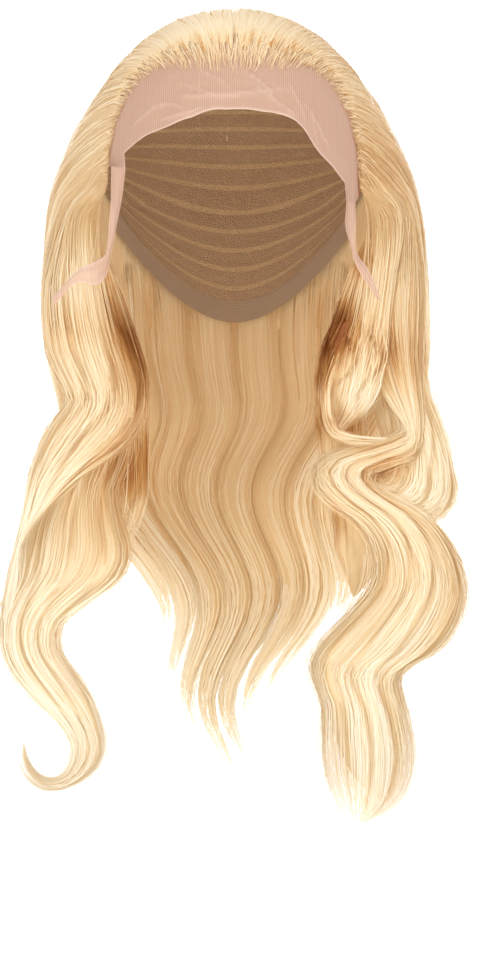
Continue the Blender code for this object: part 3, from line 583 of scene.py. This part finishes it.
def put_strands(name, path, tone, width):
    """One mesh of flat ribbons, each turned by a random angle about its own path, narrow at both ends."""
    count, steps = path.shape[:2]
    along = unit(np.gradient(path, axis=1))
    side = unit(np.cross(along, outward(path)))
    rise = np.cross(side, along)
    roll = dice.normal(0, 0.13, (count, 1)) + slow_wave(count, steps, 0.13, 1.5)
    side = side * np.cos(roll)[..., None] + rise * np.sin(roll)[..., None]
    way = even(steps)
    taper = np.clip(0.12 + 5 * way, 0, 1) * np.clip(0.18 + 5 * (1 - way), 0, 1)
    half = 0.5 * width * dice.uniform(0.6, 1.3, (count, 1)) * taper
    edges = np.stack([path - side * half[..., None], path + side * half[..., None]], axis=2)
    base = (np.arange(count) * steps * 2)[:, None] + np.arange(steps - 1)[None, :] * 2
    quads = np.stack([base, base + 1, base + 3, base + 2], axis=-1).reshape(-1, 4)
    parts = np.linalg.norm(np.diff(path, axis=1), axis=-1)
    length = np.concatenate([np.zeros((count, 1)), np.cumsum(parts, axis=1)], axis=1)
    number = np.repeat(dice.uniform(0, 1, (count, 1)), steps, axis=1)
    uv = np.repeat(np.stack([number, length * 4], axis=-1)[:, :, None, :], 2, axis=2)
    uv[:, :, 1, 0] += 0.03
    tones = np.repeat(tone[:, :, None], 2, axis=2)
    thing = put_mesh(name, edges.reshape(-1, 3), quads, STRAND, uv.reshape(-1, 2), tones.ravel())
    print(name, count, "strands,", 2 * len(quads), "triangles")


# %% [markdown]
# Below the strands each lock has a soft closed body, or one would see through it. The body is the
# tube that strands a little inside the oval's rim would sweep, from just above the ring almost to
# the tip, so it lies in the hair everywhere. The locks down the back start theirs higher up, and so
# leave the hair of the head softly.


# %% Bodies of the locks
BODY_TONE = 0.62


def close_ends(thing):
    """Close the two open rings of a tube, and turn all faces outwards."""
    work = bmesh.new()
    work.from_mesh(thing.data)
    bmesh.ops.holes_fill(work, edges=[e for e in work.edges if e.is_boundary], sides=0)
    bmesh.ops.recalc_face_normals(work, faces=work.faces)
    work.to_mesh(thing.data)
    work.free()
    thing.data.shade_smooth()


def put_body(name, node, radius=0.91, around=30, steps=(2, 50), start=0.965, stop=0.93, thin=0.62):
    """Closed tube through the places on one oval of the lock, with its ends drawn to a point."""
    place = PLACES[name]
    angle = np.linspace(0, 2 * pi, around, endpoint=False)
    dx, dy = radius * np.cos(angle), radius * np.sin(angle)
    t, share = ring_share(place(np.zeros(around), dx, dy))
    share = np.clip(share, 0.05, 0.80)
    total = sum(steps)
    way = even(total)
    shape = thin + (1 - thin) * smoothstep((way - steps[0] / total) / 0.16)
    ripple = 1 - 0.05 * np.abs(np.sin(3.5 * angle + 1))[:, None] * shape
    path = hair_path(place, dx[:, None] * ripple, dy[:, None] * ripple, t[:, None] + 0 * way, share,
                     np.full(around, start), np.full(around, stop), steps)
    middle = path.mean(axis=0, keepdims=True)
    close = np.sqrt(np.clip(np.minimum(way * 9 + 0.1, (1 - way) * 6), 0.0004, 1))
    path = middle + (path - middle) * close[..., None]
    points = path.transpose(1, 0, 2)
    quads = grid_quads(total, around, wrap=True)
    round_uv = np.repeat(np.abs(np.linspace(-1, 1, around))[None, :], total, axis=0)
    uv = np.stack([round_uv, np.repeat(np.linspace(0, 1, total)[:, None], around, axis=1) * 0.9], axis=-1)
    # painted shade at the shade places and on the side of a lock that faces the neck
    tone = np.clip(BODY_TONE - painted_shade_at(points) - inner_painted_shade(name, dy)[None, :], 0, 1)
    thing = put_mesh(name + "_body", points.reshape(-1, 3), quads, BODY, uv.reshape(-1, 2), tone.ravel())
    close_ends(thing)
    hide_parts(node)


# %% [markdown]
# Materials are written as sums. A small class holds one output of a node, and a plus or a times
# between two of them adds the Math node that does it, so the recipe reads as a formula.


# %% Shader sums
class Wire:
    """One socket of a material's nodes, which can stand in a sum."""

    def __init__(self, finish, socket):
        self.finish, self.socket = finish, socket

    def maths(self, operation, first, second=0.5):
        """Add one Math node."""
        return self.finish.node("ShaderNodeMath", {"operation": operation}, {0: first, 1: second})

    def __add__(self, other): return self.maths("ADD", self, other)
    def __radd__(self, other): return self.maths("ADD", other, self)
    def __sub__(self, other): return self.maths("SUBTRACT", self, other)
    def __rsub__(self, other): return self.maths("SUBTRACT", other, self)
    def __mul__(self, other): return self.maths("MULTIPLY", self, other)
    def __rmul__(self, other): return self.maths("MULTIPLY", other, self)
    def sine(self): return self.maths("SINE", self)


class Finish:
    """A Principled material whose nodes are made one by one."""

    def __init__(self, name, **constants):
        self.material = bpy.data.materials.new(name)
        self.material.use_nodes = True
        self.tree = self.material.node_tree
        self.shader = self.tree.nodes["Principled BSDF"]
        for key, value in constants.items():
            self.shader.inputs[key.replace("_", " ")].default_value = value

    def node(self, kind, settings=None, values=None, out=0):
        """Make a node: its settings first, then the values or links of its sockets; give one output."""
        made = self.tree.nodes.new(kind)
        for key, value in (settings or {}).items():
            if key == "stops":
                while len(made.color_ramp.elements) < len(value):
                    made.color_ramp.elements.new(0.5)
                for stop, (place, colour) in zip(made.color_ramp.elements, value):
                    stop.position, stop.color = place, (*colour, 1)
            else:
                setattr(made, key, value)
        for key, value in (values or {}).items():
            if isinstance(value, Wire):
                self.tree.links.new(value.socket, made.inputs[key])
            else:
                made.inputs[key].default_value = value
        return Wire(self, made.outputs[out])

    def feed(self, **wires):
        """Link wires to the shader's own sockets."""
        for key, wire in wires.items():
            self.tree.links.new(wire.socket, self.shader.inputs[key.replace("_", " ")])
        return self.material

    def flow(self, across, along):
        """The piece's UV place, stretched by two numbers, as a vector."""
        place = self.node("ShaderNodeUVMap", {"uv_map": "flow"})
        return self.node("ShaderNodeVectorMath", {"operation": "MULTIPLY"}, {0: place, 1: (across, along, 1.0)})

    def noise(self, vector, scale=1.0, detail=2.0, rough=0.5):
        """Noise between 0 and 1 at a vector."""
        values = {"Vector": vector, "Scale": scale, "Detail": detail, "Roughness": rough}
        return self.node("ShaderNodeTexNoise", {}, values)

    def metres(self):
        """The two parts of a cloth's UV place, which is in metres."""
        parts = self.node("ShaderNodeSeparateXYZ", {}, {0: self.flow(1.0, 1.0)})
        return parts, Wire(self, parts.socket.node.outputs[1])

    def blend(self, share, first, second):
        """Colour between two others."""
        return self.node("ShaderNodeMix", {"data_type": "RGBA"}, {0: share, 6: (*first, 1), 7: (*second, 1)}, 2)

    def hair_colour(self, tone):
        """Colour of the hair at a tone, from the ramp."""
        return self.node("ShaderNodeValToRGB", {"stops": HAIR_STOPS}, {0: tone})

    def relief(self, strength, distance, height):
        """Bump, as a normal."""
        return self.node("ShaderNodeBump", {}, {"Strength": strength, "Distance": distance, "Height": height})

    def tone(self):
        """The number that each point of the mesh carries."""
        return self.node("ShaderNodeAttribute", {"attribute_name": "tone"}, {}, "Fac")


print("shader sums ready")

# %% [markdown]
# Blonde hair has almost no pigment. Its strands are glassy, so light that enters one lock comes
# out of the next a little warmer. Here the colour is a ramp from brown over amber to cream, read from
# the tone of each point, with a fine noise that runs along the strand. That warm light through the
# locks is a painted glow: both hair finishes give off a little light in their own colour, which lifts the shade.

# %% Hair finishes
HAIR_STOPS = ((0.00, (0.320, 0.095, 0.022)), (0.20, (0.590, 0.285, 0.075)), (0.42, (0.815, 0.575, 0.300)),
              (0.64, (0.895, 0.725, 0.465)), (0.84, (0.930, 0.810, 0.600)), (1.00, (0.940, 0.850, 0.700)))


def strand_finish():
    """Colour of single strands: tone, varied by noise along each strand; gloss varies a little too; a faint painted
    glow in the same colour.
    """
    # painted glow: the strands give off a little light in their own colour
    f = Finish("hair_strand", Specular_IOR_Level=0.5, Emission_Strength=0.10)
    grain = f.noise(f.flow(61.0, 3.0), 1.0, 3.0)
    colour = f.hair_colour(f.tone() + (grain - 0.5) * 0.42)
    return f.feed(Base_Color=colour, Emission_Color=colour, Roughness=0.34 + 0.25 * grain)


def body_finish():
    """Colour and relief of the hair below the strands: fine streaks along the flow, with a faint painted glow in
    the same colour.
    """
    # painted glow: the body gives off a little light in its own colour
    f = Finish("hair_body", Specular_IOR_Level=0.35, Emission_Strength=0.10)
    coarse = f.noise(f.flow(38.0, 2.2), 1.0, 4.0, 0.6)
    fine = f.noise(f.flow(190.0, 5.0), 1.0, 3.0, 0.6)
    mixed = 0.5 * coarse + 0.5 * fine
    colour = f.hair_colour(f.tone() + (mixed - 0.5) * 0.75)
    return f.feed(Base_Color=colour, Emission_Color=colour, Roughness=0.42 + 0.2 * fine,
                  Normal=f.relief(0.6, 0.0012, mixed))


STRAND, BODY = strand_finish(), body_finish()
print("hair finishes:", STRAND.name, BODY.name)

# %% [markdown]
# The body of the hair over the head is a closed shell between the cap and just below the outer
# strands. It thins out towards the ring, where the locks take over.

# %% Body over the head
PART = 0.0002
OUTER_SHARE, INNER_SHARE, INNER_RISE = 0.84, 0.02, 0.30
SHELL_TONE, SHELL_ROOT_DARK, SHELL_INNER_PAINTED_SHADE, SHELL_END_PAINTED_SHADE = 0.63, 0.30, 0.17, 0.12
HEAD_BODIES = {
    "crown_hair_left": (-PART, -0.55), "crown_hair_right": (PART, 0.55),
    "side_hair_left": (-0.55, -0.955), "side_hair_right": (0.55, 0.955),
}


def put_head_body(name, ends, rows=64, columns=48):
    """Closed shell of combed hair. Its outer share falls and its inner share rises towards the ring."""
    t = np.linspace(*ends, rows)[:, None] + np.zeros((1, columns))
    ragged = 0.010 * (np.sin(97 * t) + np.sin(61 * t + 1) + np.sin(149 * t))
    v = even(columns) ** 1.4
    v = 0.04 + 0.96 * v + ragged * np.exp(-v / 0.05)
    lump = 1 - 0.035 * (1 + np.sin(60 * t + 3 * np.sin(4 * v + 9 * t))) * smoothstep(v / 0.3)
    recede = (0.12 + 0.34 * smoothstep((np.abs(t) - 0.55) / 0.15)) * smoothstep((v - 0.50) / 0.42)
    outer = combed_point(t, v, (OUTER_SHARE - recede) * lump * (0.03 + 0.97 * smoothstep((v - 0.03) / 0.34)))
    inner = combed_point(t, v, INNER_SHARE + INNER_RISE * smoothstep((v - 0.66) / 0.25))
    quads = grid_quads(rows, columns)
    size = rows * columns
    number = np.arange(size).reshape(rows, columns)
    edge = np.concatenate([number[0], number[1:, -1], number[-1, -2::-1], number[-2:0:-1, 0]])
    near = np.roll(edge, -1)
    rims = np.stack([edge, near, near + size, edge + size], axis=-1)
    points = np.concatenate([outer.reshape(-1, 3), inner.reshape(-1, 3)])
    uv = np.stack([t, v], axis=-1).reshape(-1, 2)
    # painted shade at the shade places; the inner face is darker, and darker still towards its lower end
    tone = np.clip(SHELL_TONE - SHELL_ROOT_DARK * np.exp(-(v / 0.07) ** 2) - painted_shade_at(outer), 0, 1).ravel()
    end_painted_shade = SHELL_END_PAINTED_SHADE * smoothstep((v - 0.8) / 0.2).ravel()
    tones = np.concatenate([tone, np.clip(tone - SHELL_INNER_PAINTED_SHADE - end_painted_shade, 0, 1)])
    quads = np.concatenate([quads, quads[:, ::-1] + size, rims])
    thing = put_mesh(name + "_body", points, quads, BODY, np.concatenate([uv, uv]), tones)
    close_ends(thing)
    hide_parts(name)


for name, ends in HEAD_BODIES.items():
    put_head_body(name, ends)
print("bodies over the head:", len(HEAD_BODIES))

# %% [markdown]
# Now the locks. The long waved ones get the most strands, and the inner ones beside the neck few,
# since little of them shows. Thin wisps stand a little off the four largest.

# %% Strands and bodies of the locks
FIELDS = {
    # strands, steps over the head and down the lock, looseness, clumps
    "front_fall_left": (1800, (11, 20), 1.0, 80), "hook_wave_left": (1700, (9, 36), 1.0, 80),
    "neck_lock_left": (300, (10, 19), 1.3, 20), "front_fall_right": (1100, (11, 17), 1.0, 60),
    "loop_lock_right": (140, (12, 23), 1.0, 8), "outer_fall_right": (1650, (10, 27), 1.0, 80),
    "cross_wave_right": (1720, (8, 38), 1.0, 80), "neck_lock_right": (400, (10, 21), 1.3, 22),
}
FIELDS |= {name: (350, (9, 18), 1.3, 26) for name in MANE}
WISPS = {"front_fall_left": 20, "hook_wave_left": 34, "outer_fall_right": 26, "cross_wave_right": 36}
STRAND_WIDTH, MANE_WIDTH, WISP_WIDTH = 0.00058, 0.00080, 0.00022

for name, (count, steps, loose, clumps) in FIELDS.items():
    stops = (0.93, 1.0) if name == "cross_wave_right" else (0.74, 1.0) if name in MANE else (0.82, 1.0)
    path, tone = strand_paths(name, count, steps, loose, clumps, stops, strays=0.045)
    put_strands(name + "_strands", path, tone, MANE_WIDTH if name in MANE else STRAND_WIDTH)
    if name in MANE:
        put_body(name, name, steps=(10, 44), start=0.60, stop=0.78, thin=1.0)
    elif name not in ("loop_lock_right", "cross_wave_right"):
        put_body(name, name)
for name, fall in WISPS.items():
    path, tone = strand_paths(name, 44, (6, fall), 2.2, 12, stops=(0.70, 1.0), strays=1.0)
    put_strands(name + "_wisps", path, np.clip(tone + 0.15, 0, 1), WISP_WIDTH)
put_body("cross_wave_right", "cross_wave_right", start=0.9, steps=(3, 60), stop=0.94)
put_body("loop_lock_right", "loop_lock_right", radius=0.6, start=0.9, steps=(3, 30))

# %% [markdown]
# Along the hairline each strand is knotted to the lace by itself, so the hair starts thinly there.
# Two layers are added: strands that rise from the knots and lie on the roll of hair behind, and
# short new hairs that stand a little in front of it.


# %% Strands of the hairline
RISING_WIDTH, NEW_WIDTH = 0.00042, 0.00024


def put_hairline(count=1700, steps=10, short=700):
    """Rising strands on the outer face of the combed hair, and short ones just above the lace."""
    t = dice.choice([-1, 1], count) * dice.uniform(0.002, 0.99, count)
    start, run = dice.uniform(-0.018, 0.075, count), dice.uniform(0.18, 0.55, count)
    way = even(steps)
    v = start[:, None] + run[:, None] * way
    share = dice.uniform(0.80, 1.04, (count, 1)) * (0.03 + 0.97 * smoothstep(2.6 * way))
    path = combed_point(np.clip(t[:, None] + slow_wave(count, steps, 0.010, 0.8), -1, 1), v, share)
    # painted shade from the shade places
    tone = 0.68 - 0.20 * np.exp(-way / 0.10) + dice.normal(0, 0.06, (count, 1)) - painted_shade_at(path)
    put_strands("hairline_strands", path, np.clip(tone, 0, 1), RISING_WIDTH)
    t = dice.choice([-1, 1], short) * dice.uniform(0.0, 0.985, short)
    start, run = dice.uniform(-0.03, 0.02, short), dice.uniform(0.015, 0.09, short)
    way = even(6)
    a, b = comb_place(t[:, None] + slow_wave(short, 6, 0.014, 0.5), start[:, None] + run[:, None] * way)
    path = head_point(a, b, 0.0014 + dice.uniform(0.0004, 0.004, (short, 1)) * way ** 1.5)
    tone = np.clip(0.42 + 0.24 * way + dice.normal(0, 0.08, (short, 1)), 0, 1)
    put_strands("new_hair_strands", path, tone, NEW_WIDTH)


put_hairline()

# %% [markdown]
# The lace is a sheer warp-knit net, cut freely in front of the hairline. It lies on the forehead,
# runs down before the ears as two strips, and ends in loose tails. It is one grid: threads run
# from the seam under the hair to the cut edge. Soft creases are raised lines in the mesh, and they
# also look paler, since the net lies nearly double there.

# %% Lace sheet
FREE_EDGE = {
    "across": (-0.755, -0.59, -0.43, -0.30, -0.12, 0.055, 0.24, 0.41, 0.48, 0.575, 0.69, 0.776),
    "down": (0.83, 0.74, 0.70, 0.66, 0.62, 0.62, 0.63, 0.665, 0.71, 0.83, 0.915, 0.99),
    "seam": (-1.00, -0.84, -0.66, -0.46, -0.18, 0.06, 0.32, 0.54, 0.68, 0.80, 0.91, 1.00),
}
# columns: hair edge across, down, free edge across, down, forward
STRIP_LEFT = ((-0.868, 0.89, -0.765, 0.91, 0.575), (-0.872, 1.07, -0.790, 1.06, 0.53),
              (-0.885, 1.20, -0.822, 1.19, 0.52), (-0.893, 1.32, -0.862, 1.36, 0.53),
              (-0.914, 1.40, -0.900, 1.51, 0.58), (-1.000, 1.45, -0.970, 1.57, 0.64),
              (-1.100, 1.49, -1.105, 1.56, 0.67), (-1.290, 1.65, -1.255, 1.68, 0.66))
STRIP_RIGHT = ((0.865, 1.10, 0.802, 1.09, 0.54), (0.870, 1.215, 0.793, 1.22, 0.53),
               (0.872, 1.37, 0.829, 1.34, 0.55), (0.951, 1.477, 0.871, 1.46, 0.60),
               (1.013, 1.585, 0.957, 1.58, 0.64), (1.045, 1.660, 1.015, 1.65, 0.65))
# columns: start along, start share, end along, end share, bow, width
CREASES = ((-0.55, 0.86, 0.10, 0.93, 0.035, 0.010), (-0.10, 0.93, 0.48, 0.84, 0.030, 0.009),
           (-0.80, 0.93, -0.25, 0.97, 0.020, 0.008), (0.02, 0.80, 0.42, 0.97, -0.020, 0.008),
           (-0.30, 0.78, -0.02, 0.92, -0.015, 0.007), (0.40, 0.80, 0.70, 0.95, 0.025, 0.009),
           (0.55, 0.90, 0.88, 0.93, -0.030, 0.009), (-0.92, 0.86, -0.55, 0.90, -0.025, 0.010),
           (-0.48, 0.79, -0.08, 0.96, 0.020, 0.006), (0.12, 0.86, 0.60, 0.98, 0.020, 0.006),
           (-0.76, 0.82, -0.46, 0.97, -0.020, 0.007), (0.24, 0.76, 0.30, 0.95, 0.020, 0.006),
           (0.62, 0.80, 0.80, 0.97, 0.015, 0.007))
LACE_ACROSS, RIB_GAP, RUNG_GAP = 41, 0.00105, 0.0008


def seam_place(u):
    """Rear seam of the lace on the flat map, from ear (-1) to ear (1)."""
    return np.stack([0.95 * u, 0.10 * (1 - u ** 2)], axis=-1)


def crease_height(along, share):
    """Sum of ridges exp(-(distance / width)^2), each on a bowed line that fades at its two ends."""
    height = 0
    for u0, w0, u1, w1, bow, width in CREASES:
        s = (along - u0) / (u1 - u0)
        line = w0 + (w1 - w0) * s + bow * np.sin(pi * np.clip(s, 0, 1))
        fade = smoothstep(np.minimum(s, 1 - s) * 4)
        height = height + np.exp(-((share - line) / width) ** 2) * fade
    return np.clip(height, 0, 1)


def cloth_area(thing):
    """Area of a cloth in square metres."""
    area = sum(polygon.area for polygon in thing.data.polygons)
    print(thing.name, round(area, 4), "square metres")
    return area


def lift_out(points, height):
    """Step away from the middle of the head."""
    return unit(points - np.array([0, 0, -CROWN_DROP])) * height[..., None]


def lace_panel(rows=220):
    """Panel over the forehead: points (rows, across, 3), UV in metres and tone."""
    edge = smooth_rows(np.stack([FREE_EDGE[key] for key in ("across", "down", "seam")], axis=1), rows)
    free = np.stack(map_place(edge[:, 0], edge[:, 1]), axis=-1)
    seam = seam_place(np.clip(edge[:, 2], -1, 1))
    share = even(LACE_ACROSS)
    share = 1 - (1 - share) ** 1.6
    flat = seam[:, None, :] * (1 - share[..., None]) + free[:, None, :] * share[..., None]
    along = edge[:, 2:3] + 0 * share
    loose = smoothstep((share - 0.8) / 0.2)
    ridge = crease_height(along, share)
    points = head_point(flat[..., 0], flat[..., 1], 0.0007 + 0 * along)
    swell = 0.0011 * np.abs(np.sin(7 * share + 9 * along)) * loose + 0.0009 * ridge
    points = points + lift_out(points, swell + 0 * along)
    rim = smoothstep((share - 0.988) / 0.010) + 0 * along
    uv = np.stack([points[..., 0], points[..., 2] + points[..., 1]], axis=-1)
    return points, uv, np.clip(0.30 * ridge + rim * 0.8, 0, 1)


def lace_strip(table, rows):
    """One strip and its tail, with a soft pleat down its middle."""
    table = smooth_rows(table, rows)
    share = even(LACE_ACROSS)
    hair_x, hair_z, free_x, free_z, forward = (table[:, k:k + 1] for k in range(5))
    x = HEAD_HALF * (hair_x * (1 - share) + free_x * share)
    z = -CROWN_DROP * (hair_z * (1 - share) + free_z * share)
    way = np.linspace(0, 1, rows)[:, None]
    pleat = 0.0016 * np.sin(pi * share) + 0.0007 * np.sin(3 * pi * share + 5 * way) * way
    y = -HEAD_FRONT * forward - pleat - 0.0005 + 0 * x
    tone = 0.10 + 0.6 * np.abs(2 * share - 1) ** 6 + 0.12 * np.sin(9 * way + 3 * share) ** 2
    tone = tone * smoothstep(2.5 * way - 0.15)
    points = np.stack([x, y, z], axis=-1)
    return points, np.stack([x, z], axis=-1), np.clip(tone, 0, 1)


def put_lace(finish):
    """Left tail, panel and right tail as one sheet of cloth."""
    left = [part[::-1] for part in lace_strip(STRIP_LEFT, 80)]
    parts = [left, lace_panel(), lace_strip(STRIP_RIGHT, 64)]
    points, uv, tone = (np.concatenate(group) for group in zip(*parts))
    quads = grid_quads(len(points), LACE_ACROSS)
    thing = put_mesh("lace_sheet", points.reshape(-1, 3), quads, finish, uv.reshape(-1, 2), tone.ravel())
    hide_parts("lace_front")
    return thing, cloth_area(thing)


def lace_finish():
    """Sheer net: ribs 1 mm apart and finer cross threads, opener between them, paler on creases and edge."""
    f = Finish("lace_net", Specular_IOR_Level=0.25, Roughness=0.65)
    across, down = f.metres()
    wander = f.noise(f.flow(60.0, 60.0), 1.0, 2.0)
    ribs = (across * (2 * pi / RIB_GAP) + wander * 2.0).sine()
    rungs = (down * (2 * pi / RUNG_GAP) + ribs * 1.2).sine()
    mesh = 0.5 + 0.32 * ribs + 0.12 * rungs
    tone = f.tone()
    colour = f.blend(tone * 0.8 + (wander - 0.5) * 0.3, (0.76, 0.485, 0.365), (0.86, 0.67, 0.57))
    cover = 0.60 + 0.22 * mesh + 0.35 * tone
    return f.feed(Base_Color=colour, Alpha=cover.maths("MINIMUM", cover, 0.97), Normal=f.relief(0.35, 0.0003, mesh))


lace, lace_area = put_lace(lace_finish())

# %% [markdown]
# Behind the lace the cap is stretch net. Rows of sewn hair run round it inside, as narrow raised
# tapes, and the nape ends in a ribbed elastic band.

# %% Cap net and band
BAND_REACH, BAND_HEIGHT = 0.72, 0.012


def cap_edge(u):
    """Lower edge of the cap on the flat map, from ear (-1) round the back to ear (1)."""
    away = 1.36 + (0.95 - 1.36) * smoothstep(np.abs(u))
    side, back = ring_place(np.radians(180 - 85 * np.abs(u)), away)
    return np.stack([np.sign(u) * side, back], axis=-1)


def put_cloth(name, node, start, end, lift, finish, slot):
    """Sheet on the head form between two lines of the flat map, at a lift (rows, columns) that may vary."""
    rows, columns = lift.shape
    share = np.linspace(0, 1, columns)[None, :, None]
    flat = start[:, None, :] * (1 - share) + end[:, None, :] * share
    points = head_point(flat[..., 0], flat[..., 1], lift)
    uv = np.stack(np.meshgrid(np.linspace(0, 0.30, rows), np.linspace(0, 0.22, columns), indexing="ij"), axis=-1)
    quads = grid_quads(rows, columns)
    thing = put_mesh(name, points.reshape(-1, 3), quads, finish, uv.reshape(-1, 2), np.zeros(rows * columns))
    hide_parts(node)
    return thing, cloth_area(thing)


def net_finish():
    """Beige net with a fine pattern of holes, and paler sewn rows 13 mm apart."""
    f = Finish("cap_net", Specular_IOR_Level=0.2, Roughness=0.8)
    _, down = f.metres()
    values = {"Vector": f.flow(1.0, 1.0), "Scale": 620.0}
    cells = f.node("ShaderNodeTexVoronoi", {"feature": "DISTANCE_TO_EDGE"}, values)
    wave = (down * (2 * pi / 0.013)).sine()
    rows = wave.maths("GREATER_THAN", wave, 0.72)
    grain = f.noise(f.flow(900.0, 120.0), 1.0, 3.0)
    colour = f.blend(rows * 0.7 + grain * 0.25, (0.56, 0.36, 0.22), (0.78, 0.56, 0.30))
    return f.feed(Base_Color=colour, Normal=f.relief(0.7, 0.0008, rows + cells * 4 + grain * 0.3))


def band_finish():
    """Woven elastic: ribs along its length with a fine weave across."""
    f = Finish("nape_elastic", Specular_IOR_Level=0.3, Roughness=0.7)
    _, down = f.metres()
    ribs = (down * 2200.0).sine()
    weave = f.noise(f.flow(2400.0, 300.0), 1.0, 2.0)
    colour = f.blend(0.5 + 0.3 * ribs + 0.3 * (weave - 0.5), (0.60, 0.41, 0.26), (0.80, 0.60, 0.42))
    return f.feed(Base_Color=colour, Normal=f.relief(0.6, 0.0005, ribs + weave))


u = np.linspace(-1, 1, 81)
tapes = 0.0006 + 0.0004 * smoothstep(3 * np.sin(np.linspace(0, 2 * pi * 14, 113)) - 1.6)[None, :]
cap, cap_area = put_cloth("cap_net_sheet", "cap_crown", seam_place(u) + np.array([0, 0.003]), cap_edge(u),
                          tapes + np.zeros((81, 1)), net_finish(), "net")
u = np.linspace(-BAND_REACH, BAND_REACH, 81)
top = cap_edge(u)
far = np.linalg.norm(top, axis=-1, keepdims=True)
rows_of_band = [top * (far + (0.0004 + drop) / (CROWN_DROP * pi / 2)) / far for drop in (0.0, BAND_HEIGHT)]
ribbed = 0.0009 + 0.0003 * np.abs(np.sin(np.linspace(0, 8 * pi, 33)))[None, :] + np.zeros((81, 1))
band, band_area = put_cloth("nape_band_sheet", "nape_band", *rows_of_band, ribbed, band_finish(), "band")

# %% [markdown]
# The stage is a pale floor that curves up into a wall, as in a photographer's room. It is one
# profile carried sideways. The paper glows a little, so that it looks white from every side.

# %% Floor and wall
FLOOR, WALL, CURVE = -0.60, 5.0, 0.8


def put_stage():
    """Profile carried sideways: level floor, quarter circle, upright wall."""
    angle = np.linspace(0, pi / 2, 24)
    y = np.concatenate([[-5.5, -1.0], WALL - CURVE + CURVE * np.sin(angle), [WALL, WALL]])
    z = np.concatenate([[FLOOR, FLOOR], FLOOR + CURVE * (1 - np.cos(angle)), [2.0, 4.0]])
    x = np.linspace(-6, 6, 9)
    points = np.stack(np.broadcast_arrays(x[None, :], y[:, None], z[:, None]), axis=-1)
    f = Finish("paper", Specular_IOR_Level=0.1, Emission_Strength=0.45, Emission_Color=(0.96, 0.96, 0.96, 1))
    grain = f.noise(f.node("ShaderNodeTexCoord", {}, {}, "Object"), 60.0, 3.0)
    f.feed(Base_Color=f.blend(grain, (0.93, 0.93, 0.93), (0.96, 0.96, 0.96)), Roughness=0.75 + 0.1 * grain)
    mesh = bpy.data.meshes.new("paper_roll")
    mesh.from_pydata(points.reshape(-1, 3).tolist(), [], grid_quads(len(y), 9)[:, ::-1].tolist())
    mesh.materials.append(f.material)
    mesh.shade_smooth()
    paper = put_object("paper_roll", mesh)


put_stage()
print("floor at", FLOOR)

# %% [markdown]
# Soft light comes from large panels. The photograph has light from above and from the front on
# both sides, and hardly any hard shadow. Two more panels light the wall.

# %% Lights
ROOM_LIGHT = 0.56
LIGHTS = {
    # place, aim, size, watts
    "front left": ((-1.3, -2.2, 0.7), (0.0, 0.0, -0.2), 1.5, 14),
    "front right": ((1.5, -2.0, 0.4), (0.0, 0.0, -0.2), 1.5, 11),
    "front low": ((0.1, -2.3, -0.9), (0.0, 0.0, -0.3), 1.3, 8),
    "above": ((0.0, -0.5, 1.6), (0.0, 0.0, 0.0), 1.4, 9),
    "wall left": ((-2.2, 3.3, 0.8), (0.0, 5.0, -0.3), 1.5, 36),
    "wall right": ((2.2, 3.3, 0.8), (0.0, 5.0, -0.3), 1.5, 36),
}


def put_light(name, place, aim, size, watts):
    """Square panel of light turned to its aim."""
    data = bpy.data.lights.new(name, "AREA")
    data.size, data.energy = size, watts
    lamp = put_object(name, data)
    lamp.location = place
    lamp.rotation_euler = (Vector(aim) - Vector(place)).to_track_quat("-Z", "Y").to_euler()


for name, (place, aim, size, watts) in LIGHTS.items():
    put_light(name, place, aim, size, watts)
world = bpy.data.worlds.new("room")
world.use_nodes = True
world.node_tree.nodes["Background"].inputs["Color"].default_value = (1.0, 1.0, 1.0, 1)
world.node_tree.nodes["Background"].inputs["Strength"].default_value = ROOM_LIGHT
bpy.context.scene.world = world
print("lights:", len(LIGHTS))
